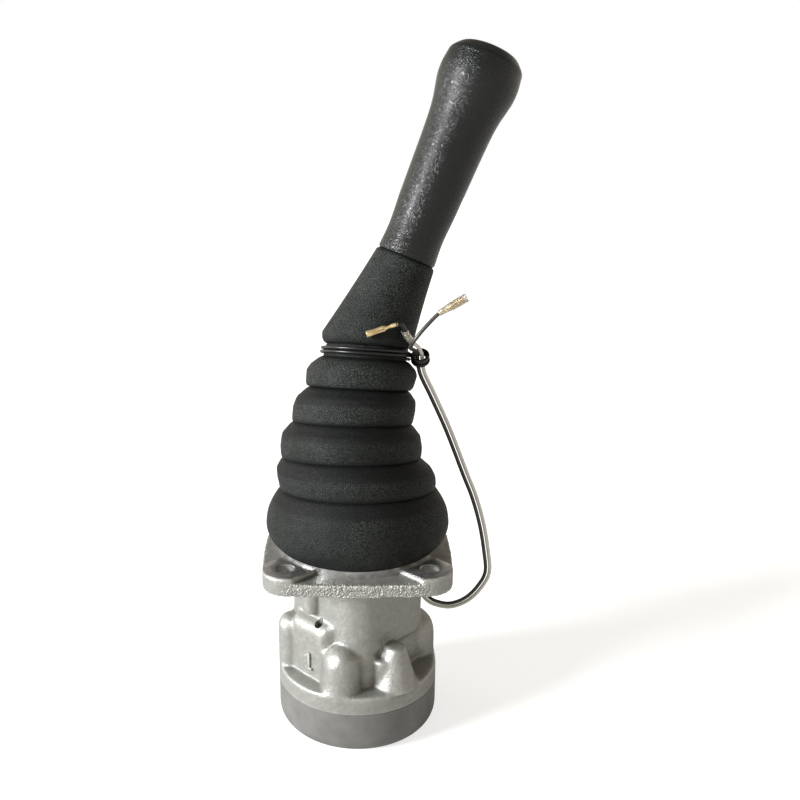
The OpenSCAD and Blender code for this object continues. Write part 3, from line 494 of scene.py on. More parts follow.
def grown(name, tree, finish, points=(), sharp=60, at=None, marks=None, **sizes):
    """A plain mesh grown by a tree from a line of points that carry marks, with its sizes by name; `at` places it."""
    mesh = bpy.data.meshes.new(name)
    points = [tuple(float(c) * MM for c in p) for p in points]
    mesh.from_pydata(points, [(i, i + 1) for i in range(len(points) - 1)], [])
    for label, values in (marks or {}).items():
        values = np.asarray(values, np.float32)
        kind, field = ("FLOAT_VECTOR", "vector") if values.ndim == 2 else ("FLOAT", "value")
        mesh.attributes.new(label, kind, "POINT").data.foreach_set(field, values.ravel())
    piece = bpy.data.objects.new(name, mesh)
    bpy.context.scene.collection.objects.link(piece)
    modifier = piece.modifiers.new("grown", "NODES")
    modifier.node_group = tree
    sockets = {item.name: item.identifier for item in tree.interface.items_tree if item.in_out == "INPUT"}
    modifier[sockets["Finish"]] = finish
    for label, value in sizes.items():
        modifier[sockets[label]] = value
    applied(piece)
    if at is not None:
        place = at.copy()
        place.translation *= MM
        piece.data.transform(place)
    tidy_faces(piece.data)
    smoothed(piece, sharp)
    return piece


def wound_spring_tree():
    """A wound spring: a spiral of so many turns, with a round wire swept along it."""
    tree, given = growing_tree("wound_spring", Turns="NodeSocketFloat", Radius="NodeSocketFloat",
                               Rise="NodeSocketFloat", Wire="NodeSocketFloat", Finish="NodeSocketMaterial")
    spiral = add(tree, "GeometryNodeCurveSpiral", {
        "Resolution": 30, "Rotations": given["Turns"], "Start Radius": given["Radius"], "End Radius": given["Radius"],
        "Height": given["Rise"]}).outputs[0]
    section = add(tree, "GeometryNodeCurvePrimitiveCircle", {"Resolution": 12, "Radius": given["Wire"]}).outputs[0]
    coil = add(tree, "GeometryNodeCurveToMesh", {"Curve": spiral, "Profile Curve": section, "Fill Caps": True})
    close_tree(tree, coil.outputs[0], given["Finish"])
    return tree


def round_cord_tree():
    """A round cord swept along a line of points."""
    tree, given = growing_tree("round_cord", Thickness="NodeSocketFloat", Finish="NodeSocketMaterial")
    line = add(tree, "GeometryNodeMeshToCurve", {"Mesh": given["Geometry"]}).outputs[0]
    section = add(tree, "GeometryNodeCurvePrimitiveCircle", {"Resolution": 14, "Radius": given["Thickness"]}).outputs[0]
    cord = add(tree, "GeometryNodeCurveToMesh", {"Curve": line, "Profile Curve": section, "Fill Caps": True})
    close_tree(tree, cord.outputs[0], given["Finish"])
    return tree


def leaning_rings_tree():
    """A closed skin of rings, one round each point of a line: a point carries its ring's two half axes, and its share
    of bloom and painted shade. A grid is rolled up over them, and its meeting edges are merged."""
    tree, given = growing_tree("leaning_rings", Sides="NodeSocketInt", Finish="NodeSocketMaterial")
    line = given["Geometry"]
    count = add(tree, "GeometryNodeAttributeDomainSize", {0: line}, component="MESH").outputs["Point Count"]
    rows = add(tree, "ShaderNodeMath", {0: count, 1: 1.0}, operation="ADD").outputs[0]
    columns = add(tree, "ShaderNodeMath", {0: given["Sides"], 1: 1.0}, operation="ADD").outputs[0]
    grid = add(tree, "GeometryNodeMeshGrid", {"Vertices X": columns, "Vertices Y": rows}).outputs["Mesh"]
    index = add(tree, "GeometryNodeInputIndex").outputs[0]
    column = add(tree, "ShaderNodeMath", {0: index, 1: rows}, operation="DIVIDE").outputs[0]
    column = add(tree, "ShaderNodeMath", {0: column}, operation="FLOOR").outputs[0]
    ring = add(tree, "ShaderNodeMath", {0: index, 1: rows}, operation="MODULO").outputs[0]
    ring = add(tree, "ShaderNodeMath", {0: ring, 1: count}, operation="MODULO").outputs[0]
    share = add(tree, "ShaderNodeMath", {0: column, 1: given["Sides"]}, operation="DIVIDE").outputs[0]
    angle = add(tree, "ShaderNodeMath", {0: share, 1: 2 * math.pi}, operation="MULTIPLY").outputs[0]
    position = add(tree, "GeometryNodeInputPosition").outputs[0]
    place = add(tree, "GeometryNodeSampleIndex", {"Geometry": line, "Value": position, "Index": ring},
                data_type="FLOAT_VECTOR").outputs[0]
    for label, turn in (("across", "COSINE"), ("away", "SINE")):
        axis = add(tree, "GeometryNodeInputNamedAttribute", {"Name": label}, data_type="FLOAT_VECTOR").outputs[0]
        axis = add(tree, "GeometryNodeSampleIndex", {"Geometry": line, "Value": axis, "Index": ring},
                   data_type="FLOAT_VECTOR").outputs[0]
        size = add(tree, "ShaderNodeMath", {0: angle}, operation=turn).outputs[0]
        place = add(tree, "ShaderNodeVectorMath", {0: axis, 1: size, 2: place}, operation="MULTIPLY_ADD").outputs[0]
    # Each ring's share of bloom, with its painted shade, is carried over to the skin.
    bloom_and_painted_shade = add(tree, "GeometryNodeInputNamedAttribute", {"Name": "bloom_and_painted_shade"}, data_type="FLOAT").outputs[0]
    bloom_and_painted_shade = add(tree, "GeometryNodeSampleIndex", {"Geometry": line, "Value": bloom_and_painted_shade, "Index": ring},
               data_type="FLOAT").outputs[0]
    marked = add(tree, "GeometryNodeStoreNamedAttribute", {"Geometry": grid, "Name": "bloom_and_painted_shade", "Value": bloom_and_painted_shade},
                 data_type="FLOAT", domain="POINT").outputs[0]
    rolled = add(tree, "GeometryNodeSetPosition", {"Geometry": marked, "Position": place}).outputs[0]
    shut = add(tree, "GeometryNodeMergeByDistance", {"Geometry": rolled, "Distance": 0.001 * MM}).outputs[0]
    close_tree(tree, shut, given["Finish"])
    return tree


SPRING_TREE, CORD_TREE, RING_TREE = wound_spring_tree(), round_cord_tree(), leaning_rings_tree()


def spring(name, body, radius, wire, z0, z1, turns, at, *nodes):
    """A coil spring between two heights of a frame, resting on each by its wire."""
    place = at @ Matrix.Translation((0, 0, z0 + wire))
    coil = grown(name, SPRING_TREE, SPRING, at=place, Turns=float(turns), Radius=radius * MM,
                 Rise=(z1 - z0 - 2 * wire) * MM, Wire=wire * MM)
    first, second = body
    ends = [at @ Vector((0, 0, z)) for z in (z0, z1)]
    return settle(coil, (first, second, tuple(ends[0]), tuple(ends[1])), "spring_steel", *nodes)


# ---- Camera ----
eye = bpy.data.cameras.new("camera")
camera = bpy.data.objects.new("camera", eye)
bpy.context.scene.collection.objects.link(camera)
bpy.context.scene.camera = camera
eye.sensor_width, eye.lens, eye.shift_x = 36, 40.5, 0.0531
eye.clip_start, eye.clip_end = 0.01, 20
camera.location = (0, -0.462, 0.218)
camera.rotation_euler = (math.radians(90 - 15.5), 0, 0)

# ---- Wires: the pair comes out of the grommet, climbs beside the boot and is tied up at the groove ----
SPLIT_Z = 36                       # each wire is cut here into two halves
LOWER_BEND, UPPER_BEND = ("root", "cross", -20, 34), ("cross", "lever", 38, 98)    # bodies, start and end heights


def wire_line(tail, offset):
    """One wire's middle line: beside the pair's, then along its own tail."""
    middle = smooth_line(LOOP, 4)
    side = np.array([unit(np.cross(ahead, [0.1, 1, 0.05])) for ahead in headings(middle)])
    return np.concatenate([middle + offset * side, smooth_line(tail, 3)])


def make_wire(name, tail, offset, finish, slot, terminal, node):
    """One wire in two halves that meet end to end."""
    line = wire_line(tail, offset)
    cut = next(i for i in range(len(line)) if line[i][2] > SPLIT_Z and line[i][0] > 50)
    for half, part, bends, end, extra in (("_lower", line[:cut + 1], LOWER_BEND, "object", ()),
                                          ("_upper", line[cut:], UPPER_BEND, "connector", terminal)):
        piece = settle(tube(name + half, part, WIRE_R, finish, 14), bends, slot, node)


def terminal_axes(start, reach):
    """The frame of a terminal that starts at a point and points along `reach`."""
    z = unit(np.array(reach, float))
    x = unit(np.cross([0.0, -1.0, 0.0], z))
    full = Matrix.Identity(4)
    for k, column in enumerate((x, np.cross(z, x), z)):
        for i in range(3):
            full[i][k] = column[i]
    return Matrix.Translation(start) @ full


def bullet_terminal(name, at, length):
    """A stamped brass bullet socket: crimp claws, neck, then a rolled barrel with an open seam and a spring lug."""
    outline = [(0.5, 0.6), (1.0, 0.6), (1.05, 3.2), (0.75, 3.9), (0.8, 5.6), (1.5, 7.0), (1.6, 7.8), (1.5, 8.6),
               (1.5, length - 3.2), (1.7, length - 2.2), (1.8, length - 0.4), (1.68, length), (1.38, length),
               (1.3, 8.2), (0.5, 6.2)]
    barrel = spun(name, outline, BRASS_TERMINAL, 40, at, sharp=35)
    seam = mesh_piece("seam", moved(at, box_points((-0.25, 0.3, 6.8), (0.25, 3, length + 2))), BOX_FACES, CAST)
    cut_away(barrel, seam)
    lug = mesh_piece("lug", moved(at, box_points((-0.8, -2.35, length - 7.4), (0.8, -1.1, length - 3.8))),
                     BOX_FACES, BRASS_TERMINAL)
    modified(lug, "BEVEL", width=0.3 * MM, segments=3)
    return joined(name, [barrel, lug])


BOX_FACES = [(0, 1, 3, 2), (4, 6, 7, 5), (0, 4, 5, 1), (2, 3, 7, 6), (0, 2, 6, 4), (1, 5, 7, 3)]


def box_points(low, high):
    """A box's corners, in the order that BOX_FACES takes them."""
    return [(x, y, z) for z in (low[2], high[2]) for y in (low[1], high[1]) for x in (low[0], high[0])]


BLACK_REACH, WHITE_REACH = np.array([14, -1, 8.5]), np.array([-15.5, -1.5, -5])    # from wire's end to the tip
sleeved_at = terminal_axes(BLACK_TAIL[-1], BLACK_REACH)
open_at = terminal_axes(WHITE_TAIL[-1], WHITE_REACH)
sleeved_len, open_len = (float(np.linalg.norm(reach)) for reach in (BLACK_REACH, WHITE_REACH))
sleeve_clear = spun("clear_sleeve", [
    (1.15, 0.3), (1.3, 3.4), (1.85, 7.2), (1.95, 8.4), (1.95, sleeved_len - 0.5), (2.25, sleeved_len - 0.1),
    (2.28, 8.2), (2.1, 6.8), (1.68, 3.2), (1.5, 0.4), (1.35, 0.2)], CLEAR, 40, sleeved_at)
settle(sleeve_clear, "lever", "clear_sleeve", "sleeved_terminal")
sleeved_brass = settle(bullet_terminal("sleeved_terminal_brass", sleeved_at, sleeved_len - 2.4), "lever",
                       "terminal_brass")
open_brass = settle(bullet_terminal("open_terminal_brass", open_at, open_len), "lever", "terminal_brass",
                    "open_terminal")
white_end = wire_line(WHITE_TAIL, -WIRE_APART)[-16:]
shrink = settle(tube("shrink_sleeve", white_end[8:], 1.4, SHRINK, 24), "lever", "black_pvc")
spare = settle(pipe("spare_sleeve", white_end[3:9], 1.85, 1.45, CLEAR), "lever", "clear_sleeve")
make_wire("black_wire_tube", BLACK_TAIL, WIRE_APART, BLACK_PVC, "black_pvc", (sleeve_clear, sleeved_brass),
          "black_wire")
make_wire("white_wire_tube", WHITE_TAIL, -WIRE_APART, WHITE_PVC, "white_pvc", (open_brass, shrink, spare),
          "white_wire")


# ---- Boot ----
def ease(t):
    """A soft step from 0 to 1."""
    t = min(max(t, 0), 1)
    return t * t * (3 - 2 * t)


def boot_back(z):
    """How far the folds lean back at a height, in radians."""
    return math.radians(13 * (1 - math.exp(-(max(z - 12, 0) / 28) ** 1.5)))


def boot_roll(z):
    """How far the folds roll to the right at a height, in radians."""
    return math.radians(4 * max(z - 50, 0) / 60)


def boot_ring(r, z):
    """A ring of the boot, as its middle and two half axes: the folds lean back and roll a little as it rises."""
    if z <= RING_TOP_Z:
        return np.array([(0, 0, z), (r, 0, 0), (0, r, 0)], float)
    back, roll = boot_back(z), boot_roll(z)
    mid_x = 3.4 * (ease((z - 68) / 32) - ease((z - 42) / 17)) + 4.2 * (max(z - 84, 0) / 28) ** 1.5
    mid_y = 9.5 * (max(z - 20, 0) / 92) ** 1.4
    return np.array([(mid_x, mid_y, z), (r * math.cos(roll), 0, -r * math.sin(roll)),
                     (0, r * math.cos(back), -r * math.sin(back))])


def boot_point(r, z, a):
    """The point of a boot's ring at an angle."""
    middle, across, away = boot_ring(r, z)
    return middle + math.cos(a) * across + math.sin(a) * away


def ring_on(at, r, x=0.0, y=0.0):
    """A round ring in a frame, as its middle and two half axes."""
    full = np.array(at)
    return np.array([full[:3, :3] @ (x, y, 0) + full[:3, 3], r * full[:3, 0], r * full[:3, 1]])


def ringed(name, rings, paleness_with_painted_shade, finish, sides, sharp):
    """A closed skin over rings, each with its share of bloom, from 0 where shade is painted into a crease to 1 on a
    bulge.
    """
    middles, across, away = np.transpose(rings, (1, 0, 2))
    marks = {"across": across * MM, "away": away * MM, "bloom_and_painted_shade": paleness_with_painted_shade}
    return grown(name, RING_TREE, finish, middles, sharp, marks=marks, Sides=sides)


def fold_outline(low, fold, ridge):
    """One fold from the crease below it: a band that hangs over the crease, a soft ridge, a full shoulder."""
    (low_r, low_z), (wide_r, wide_z, top_r, top_z) = low, fold
    ridge_r, ridge_z = ridge
    lip, fall = wide_r - low_r, ridge_r - top_r
    return [(low_r, low_z), (low_r + 0.5 * lip, low_z + 0.3),
            (wide_r - 0.16 * lip, low_z + 0.24 * (wide_z - low_z) + 0.6), (wide_r, wide_z - 0.2),
            (wide_r - 0.02, wide_z + 1.2), (ridge_r, ridge_z),
            (ridge_r - 0.3 * fall, ridge_z + 0.38 * (top_z - ridge_z)),
            (top_r + 0.34 * fall, ridge_z + 0.78 * (top_z - ridge_z)),
            (top_r + 0.05 * fall, top_z - 0.1), (top_r, top_z)]


RIDGES = [(48.0, 30.5), (42.0, 51.5), (37.4, 69.6), (32.0, 88.8), (28.2, 106.0)]
boot_lows = [(RING_R + 2, RING_TOP_Z + 1.5)] + [(f[2], f[3]) for f in FOLDS[:-1]]


def bloom_and_shade_at(r, z):
    """The boot's share of bloom at a radius and a height: most on the upper bands, with painted shade in the creases
    and under the shoulders, and darker towards the bottom.
    """
    crease = min(math.hypot(r - c[0], z - c[1]) for c in CREASES)
    above = max((ease((z - low + 1) / 2) for low, high in SHOULDERS if low - 1 < z < high), default=0)
    # Painted shade blackens the creases and dims the shoulders; the last factor makes the boot darker towards the
    # bottom.
    return ease((crease - 0.3) / 3.2) * (1 - 0.9 * above) * (0.62 + 0.38 * ease((z - 36) / 60))


def rubber_skin(name, outer, inner):
    """A closed rubber shell between an outer and an inner outline, leaning like the boot."""
    outline = outer + inner
    return ringed(name, [boot_ring(r, z) for r, z in outline], [bloom_and_shade_at(r, z) for r, z in outline], RUBBER, 144, 75)


def finer(outline, between=4):
    """An outline with a smooth curve through its points."""
    return [tuple(p) for p in smooth_line(outline, between)]


CREASES = [(f[2], f[3]) for f in FOLDS]
SHOULDERS = [(34.3, 40.5), (49.6, 57), (68, 76), (85.8, 94.5), (108.6, 110.5)]
wall = 3.2
lower_outer = [(RING_R - 1.4, RING_TOP_Z), (RING_R + 1.2, RING_TOP_Z + 0.4)]
lower_outer += finer([(RING_R + 1.8, RING_TOP_Z + 1.2), (47.8, 14.8), (49.3, 17.4), (50.1, 20.8), (49.9, 24.5),
                      (49, 29), (47.5, 32.6), (45.6, 36), (43.4, 39.2), (41.6, 40.5)])
lower_outer += finer(fold_outline(boot_lows[1], FOLDS[1], RIDGES[1]))[1:]
lower_inner = [(FOLDS[1][2] - wall, FOLDS[1][3]), (FOLDS[1][0] - wall, FOLDS[1][1]),
               (FOLDS[0][2] - wall, FOLDS[0][3]), (FOLDS[0][0] - wall, FOLDS[0][1]), (RING_R - 6.2, RING_TOP_Z)]
upper_outer = []
for k in (2, 3, 4):
    upper_outer += finer(fold_outline(boot_lows[k], FOLDS[k], RIDGES[k]))[1 if upper_outer else 0:]
upper_outer += [(GROOVE_R - 0.1, 112), (GROOVE_R, 115.4), (GROOVE_R - 0.6, COLLAR_Z)]
upper_inner = [(GROOVE_R - 10, COLLAR_Z), (GROOVE_R - 10, 107), (FOLDS[4][0] - wall, FOLDS[4][1]),
               (FOLDS[3][2] - wall, FOLDS[3][3]), (FOLDS[3][0] - wall, FOLDS[3][1]),
               (FOLDS[2][2] - wall, FOLDS[2][3]), (FOLDS[2][0] - wall, FOLDS[2][1]), (FOLDS[1][2] - wall, FOLDS[1][3])]
bellows_lower = rubber_skin("bellows_lower", lower_outer, lower_inner)
settle(bellows_lower, ("root", "cross", 13, 49), "boot_rubber", "bellows_boot")
bellows_upper = rubber_skin("bellows_upper", upper_outer, upper_inner)
settle(bellows_upper, ("cross", "lever", 65, 104), "boot_rubber", "bellows_boot")


# The horn switch's lead inside the boot, slack enough to follow the lever, in two halves like the wires
lead_line = smooth_line(LEAD, 4)
lead_cut = next(i for i in range(len(lead_line)) if lead_line[i][2] > SPLIT_Z)
for half, part, bends in (("_lower", lead_line[:lead_cut + 1], ("root", "cross", -10, 34)),
                          ("_upper", lead_line[lead_cut:], ("cross", "lever", 38, 64))):
    settle(tube("inner_lead" + half, part, LEAD_R, BLACK_PVC, 14), bends, "black_pvc", "boot_lead")


def tie_line():
    """Two turns in the boot's groove, then three round the wires, which lean towards the front."""
    turns = [boot_point(GROOVE_R + 0.45 + TIE_R, 112 + 2 * (a / 360 - 0.2), math.radians(a))
             for a in range(-8, 700, 12)]
    knot = np.array(LOOP[-1], float)
    axis = unit(unit(knot - np.array(LOOP[-2], float)) + np.array([0, -0.55, 0]))
    u = unit(np.cross(axis, [0.1, 1, 0.05]))
    v = np.cross(axis, u)
    for a in np.radians(np.arange(0, 1081, 15)):
        swell, climb = 4.1 + 0.35 * math.sin(a / 2), 0.2 + 1.9 * a / (2 * math.pi)
        turns.append(knot + swell * (math.cos(a) * u + math.sin(a) * v) - climb * axis)
    return turns


settle(grown("tie_cord", CORD_TREE, TIE, tie_line(), Thickness=TIE_R * MM), "lever", "tie_plastic", "boot_tie")

# ---- Sleeve, grip, button ----
def on_lever(s):
    """The lever's frame at a distance up it from its bend."""
    return Matrix.Translation(BEND) @ Matrix.Rotation(TURN, 4, "Z") @ Matrix.Rotation(LEAN, 4, "Y") @ \
        Matrix.Translation((0, 0, s))


def on_collar(dz):
    """The boot's frame at its groove, raised by a height."""
    middle = boot_ring(0, 112)[0]
    tilt = Matrix.Rotation(boot_roll(112), 4, "Y") @ Matrix.Rotation(-boot_back(112), 4, "X")
    return Matrix.Translation((middle[0], middle[1], 112 + dz)) @ tilt


def sleeve():
    """The boot's sleeve: rolled at its foot over the tie, and drawn in to the grip's end."""
    # The last number of each ring is its share of bloom: low where shade is painted into the roll at the tie and where
    # the sleeve goes into the grip.
    foot = [(5.4, 20.5, 1.2, 0.1), (5.2, 21.9, 1.3, 0.2), (5.6, 23.0, 1.4, 0.4), (6.6, 24.1, 1.5, 0.6),
            (8.3, 24.75, 1.6, 0.7), (9.8, 24.8, 1.6, 0.75)]
    head = [(-0.9, 16.2, 0.6), (-0.2, 15.3, 0.2), (0.2, 14.9, 0.1), (0.2, 7.1, 0.1), (-19, 7.1, 0.1), (-20, 9, 0.1)]
    low, high = ring_on(on_collar(11.6), 24.7, 1.6, 1), ring_on(on_lever(SLEEVE_LEN - 2.2), 16.5)
    rings = [(ring_on(on_collar(dz), r, x, 1), paleness_with_painted_shade) for dz, r, x, paleness_with_painted_shade in foot]
    rings += [(low + (high - low) * t, 0.8 + 0.2 * t) for t in np.linspace(0, 1, 25)]
    rings += [(ring_on(on_lever(SLEEVE_LEN + ds), r), paleness_with_painted_shade) for ds, r, paleness_with_painted_shade in head]
    rings.append((ring_on(on_collar(8), 17.5), 0.1))
    return ringed("sleeve", [ring for ring, paleness_with_painted_shade in rings], [paleness_with_painted_shade for ring, paleness_with_painted_shade in rings], RUBBER, 96, 70)


settle(sleeve(), "lever", "boot_rubber", "boot_sleeve")

GRIP_OUTLINE = [(15.2, 0.3), (15.8, 1.4), (15.1, 13.7), (15.8, 28), (16.25, 41), (17.2, 67), (18.2, 79), (19.8, 87),
                (20.9, 92.6), (21.1, 98.5), (20.4, 104), (19.7, 107), (17.1, 110), (14.85, 111.75), (11.9, 112.7)]
GRIP_BORES = [(9.4, 112.8), (9.0, 112.4), (9.0, 84), (3.0, 84), (3.0, LEVER_END - SLEEVE_LEN + 2),
              (7.05, LEVER_END - SLEEVE_LEN + 2), (7.05, 0.3)]
grip_outline = [GRIP_OUTLINE[0]] + finer(GRIP_OUTLINE[1:], 5) + GRIP_BORES
settle(spun("grip_body", grip_outline, GRIP, 128, on_lever(SLEEVE_LEN), sharp=50), "lever", "grip_plastic", "grip")
settle(spun("bezel", [(7, 104), (8.9, 104), (8.95, 109.4), (8.4, 110.4), (7.5, 110.5), (7, 110.0)], BLACK_ABS, 96,
            on_lever(SLEEVE_LEN)), "lever", "switch_plastic", "button_bezel")
settle(spun("horn_cap", [(0.01, 99.2), (2.5, 99.8), (2.5, 101.3), (7.9, 101.3), (7.9, 103.6), (6.9, 103.8),
                         (6.9, 108.9), (6.5, 109.6), (5.6, 109.95), (3, 110.05), (0.01, 110.1)], RED, 72,
            on_lever(SLEEVE_LEN)), "button", "button_plastic", "horn_button")

spring("button_return_spring", ("lever", "button"), 4.6, 0.4, 98, 101.3, 3, on_lever(SLEEVE_LEN), "button_spring")

# ---- Springs of the four valves, squeezed between the casing and the push rods' seats ----
COIL_TURNS, COIL_WIRES = 5, {"return": 0.9, "metering": 0.65}      # radius of each kind's wire
for q in "1234":
    for kind, wire in COIL_WIRES.items():
        node = kind + "_spring_" + q
        low, high = (np.array(c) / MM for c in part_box(node))
        middle = (low + high) / 2
        spring(kind + "_coil_" + q, ("root", "rod_" + q), (high[0] - low[0]) / 2 - wire, wire, low[2], high[2],
               COIL_TURNS, Matrix.Translation((middle[0], middle[1], 0)), node)

# ---- Casing ----
def flange_loop(reach, corner, steps=12):
    """The flange's outline: a square with round corners and slightly bowed sides."""
    loop = []
    for quarter in range(4):
        turn = quarter * math.pi / 2
        side = []
        for t in np.linspace(-1, 1, 15)[:-1]:
            y = t * (reach - corner)
            side.append((reach - (SIDE_BOW - math.sqrt(SIDE_BOW ** 2 - y * y)), y))
        for a in np.linspace(0, math.pi / 2, steps)[:-1]:
            bow = SIDE_BOW - math.sqrt(SIDE_BOW ** 2 - (reach - corner) ** 2)
            side.append((reach - corner - bow + corner * math.cos(a), reach - corner - bow + corner * math.sin(a)))
        loop += [(x * math.cos(turn) - y * math.sin(turn), x * math.sin(turn) + y * math.cos(turn)) for x, y in side]
    return loop


def prism(loop, z0, z1):
    """A straight prism over a loop of (x, y)."""
    points = [(x, y, z0) for x, y in loop] + [(x, y, z1) for x, y in loop]
    return mesh_piece("carver", points, ring_faces(2, len(loop), False), CAST)


def pad_prisms(reach, corner, z0, z1):
    """The four corner pads as straight prisms: the flange's own outline outside, a straight side inside."""
    made = []
    outline = np.array(flange_loop(reach, corner, 24))
    for a in np.radians([45, 135, 225, 315]):
        out, across = np.array([math.cos(a), math.sin(a)]), np.array([-math.sin(a), math.cos(a)])
        side = sorted((p @ across, p @ out) for p in outline if p @ out > 20)
        ends = [(u, float(np.interp(u, *np.transpose(side)))) for u in (-PAD_HALF, PAD_HALF)]
        near = [p for p in side if abs(p[0]) < PAD_HALF - 0.1]
        loop = [(-PAD_HALF, 41), ends[0]] + near + [ends[1], (PAD_HALF, 41)]
        made.append(prism([tuple(out * v + across * u) for u, v in loop][::-1], z0, z1))
    return made


def diamond_loop(reach, r, steps=10):
    """The neck's outline: a square on its corner with a round lobe about each push rod."""
    loop = []
    for quarter in range(4):
        turn = quarter * math.pi / 2
        middle = reach * math.cos(turn), reach * math.sin(turn)
        for a in turn + np.linspace(-math.pi / 4, math.pi / 4, steps):
            loop.append((middle[0] + r * math.cos(a), middle[1] + r * math.sin(a)))
    return loop


def domed(x, y, r, top):
    """A boss with a round head, standing in the foot."""
    dome = [(r * math.cos(t), top - r + r * math.sin(t)) for t in np.linspace(0, math.pi / 2, 9)[:-1]] + [(0.05, top)]
    return spun("carver", [(r, FOOT_TOP_Z - 4)] + dome, CAST, 40, Matrix.Translation((x, y, 0)), closed=False)


# The cast web stands out from the neck at the front left. Its shoulder's profile is outward reach and height, and
# sections of it are drawn in to the neck's face at both ends.
WEB_TURN = Matrix.Rotation(math.radians(-135), 4, "Z")
NECK_FACE = 29
SHOULDER = [(20, -42.5), (35.9, -42.5), (35.9, -38), (35.8, -33.8), (35, -31.2), (32.6, -29.2), (29.8, -27.8),
            (28, -27.2), (20, -27)]


def web():
    """The web between two bosses, and the rounded shoulder over it."""
    sections = []
    for u in np.linspace(-17, 14.5, 14):
        full = ease((u + 20) / 6) * ease((14.5 - u) / 7)
        sections += [(v if v < NECK_FACE else NECK_FACE + (v - NECK_FACE) * full, u, z) for v, z in SHOULDER]
    block = box_points((20, -14, -64), (36, 10, -41.6))
    return [mesh_piece("carver", moved(WEB_TURN, block), BOX_FACES, CAST),
            mesh_piece("carver", moved(WEB_TURN, sections), ring_faces(14, len(SHOULDER), False), CAST)]


# Round-headed bosses: place, radius, height of the head's top
BOSSES = [(-8, -32.8, 10.6, -37), (-37, -7, 7.6, -31.5), (30.5, 8, 14, -37), (19, 19, 12, -42), (12, 35.6, 7.2, -36),
          (-21, 26, 11, -40)]
# Pillars and cones on the neck and the foot: radius, both heights, place, radius at the top
PILLARS = [(11.4, -66, -43, -8.6, -32.8, 9.4), (9.5, -64, -43.5, 2, -26.5, 9.5), (7, -64, -44, 14, -23.5, 7),
           (12.6, -63, -39.5, 20.4, -28.8, 5.4), (6, -64, -46, 13.5, -30, 6), (5.2, -25.5, 2, -24.8, -17.2, 5.2)]
SCREW_CIRCLE, SCREW_ANGLES = 31.5, np.radians([-50, 130, 230])
TANK_AT = 27 * math.cos(math.pi / 4)
GRAIN = 0.85            # size of the voxels that the lumps are merged with


def casting():
    """The sand casting: its lumps are merged, their corners filled and rounded, and the bores cut after."""
    reach = FLANGE_REACH - 0.3
    parts = [prism(flange_loop(reach, FLANGE_CORNER), 0, FLANGE_T), rod(RING_R - 3.5, 3, FLANGE_T + 1.5, sides=96),
             prism(diamond_loop(ROD_CIRCLE, LOBE_R), BLOCK_Z, 3),
             prism(diamond_loop(ROD_CIRCLE, LOBE_R - 1.5), -66, -38), rod(BASE_R, SEAM_Z - 4, FOOT_TOP_Z, sides=128)]
    parts += [domed(*boss) for boss in BOSSES] + [rod(*pillar) for pillar in PILLARS] + web()
    parts += pad_prisms(reach, FLANGE_CORNER, 3, PAD_TOP_Z - 0.4)
    body = joined("cast_body", parts)
    modified(body, "REMESH", mode="VOXEL", voxel_size=GRAIN * MM)
    modified(body, "SMOOTH", factor=0.5, iterations=4)
    waist = body.vertex_groups.new(name="waist")
    waist.add([v.index for v in body.data.vertices if -71 < v.co.z / MM < -1.5], 1, "REPLACE")
    modified(body, "SMOOTH", factor=0.5, iterations=14, vertex_group="waist")
    body.vertex_groups.clear()
    roughen(body.data)
    top = [rod(RECESS_R + 0.2, RECESS_Z, 30, sides=96), rod(70, -90, SEAM_Z, sides=48)]
    top += [rod(BOLT_R, -5, 20, x * BOLT_AT, y * BOLT_AT, sides=40) for x in (-1, 1) for y in (-1, 1)]
    slant = Matrix.Translation((-20.9, -24.6, -28.6)) @ WEB_TURN @ Matrix.Rotation(math.radians(14), 4, "Y")
    top.append(spun("carver", [(2.6, -7), (2.6, 9)], CAST, 32, slant, closed=False))
    passage = smooth_line([(16.97, 16.97, -6), (17, 17, -12), (18.6, 18.6, -15.6), (22, 22, -16), (34, 34, -16)], 4)
    top.append(tube("carver", passage, 2.9, CAST, 24))
    bores = [spun("carver", [(5, -80), (5, -46), (9.05, -46), (9.05, 8)], CAST, 48,
                  Matrix.Rotation(q * math.pi / 2, 4, "Z") @ Matrix.Translation((ROD_CIRCLE, 0, 0)), closed=False)
             for q in range(4)]
    bores += [rod(7.05, -19, 8), rod(3.5, -80, -59.5), rod(2.9, -8, 8, 16.97, 16.97, sides=24),
              rod(3, -80, -48, TANK_AT, TANK_AT), rod(2.05, -80, -67.5, 36, 0, sides=24)]
    bores += [rod(3.05, -80, -57, SCREW_CIRCLE * math.cos(a), SCREW_CIRCLE * math.sin(a)) for a in SCREW_ANGLES]
    return cut_away(body, joined("top_cutter", top), joined("bore_cutter", bores))


def roughen(mesh):
    """Gives the casting its slight unevenness, and its ragged edge where the mould parted at the flange."""
    at, normals = np.zeros(len(mesh.vertices) * 3), np.zeros(len(mesh.vertices) * 3)
    mesh.vertices.foreach_get("co", at)
    mesh.vertices.foreach_get("normal", normals)
    at, normals = at.reshape(-1, 3), normals.reshape(-1, 3)
    x, y, z = (at / MM).T
    edge = np.clip((np.maximum(np.abs(x), np.abs(y)) - 48.7) / 1.6, 0, 1)
    edge = edge * np.clip((8.5 - z) / 2, 0, 1) * (z > -1.5)
    edge *= 1 - np.clip((np.abs(x) + np.abs(y) - 84) / 8, 0, 0.75)
    waves, lumps = (np.array([noise.noise(Vector(p) / (size * MM)) for p in at]) for size in (6, 1.7))
    shift = 0.16 * waves + 0.05 * lumps + edge * (0.28 * lumps - 0.12)
    mesh.vertices.foreach_set("co", (at + normals * shift[:, None] * MM).ravel())
    mesh.update()
    coarse = mesh.attributes.new("coarse", "FLOAT", "POINT")
    coarse.data.foreach_set("value", np.clip(edge + 0.12, 0, 1).astype(np.float32))


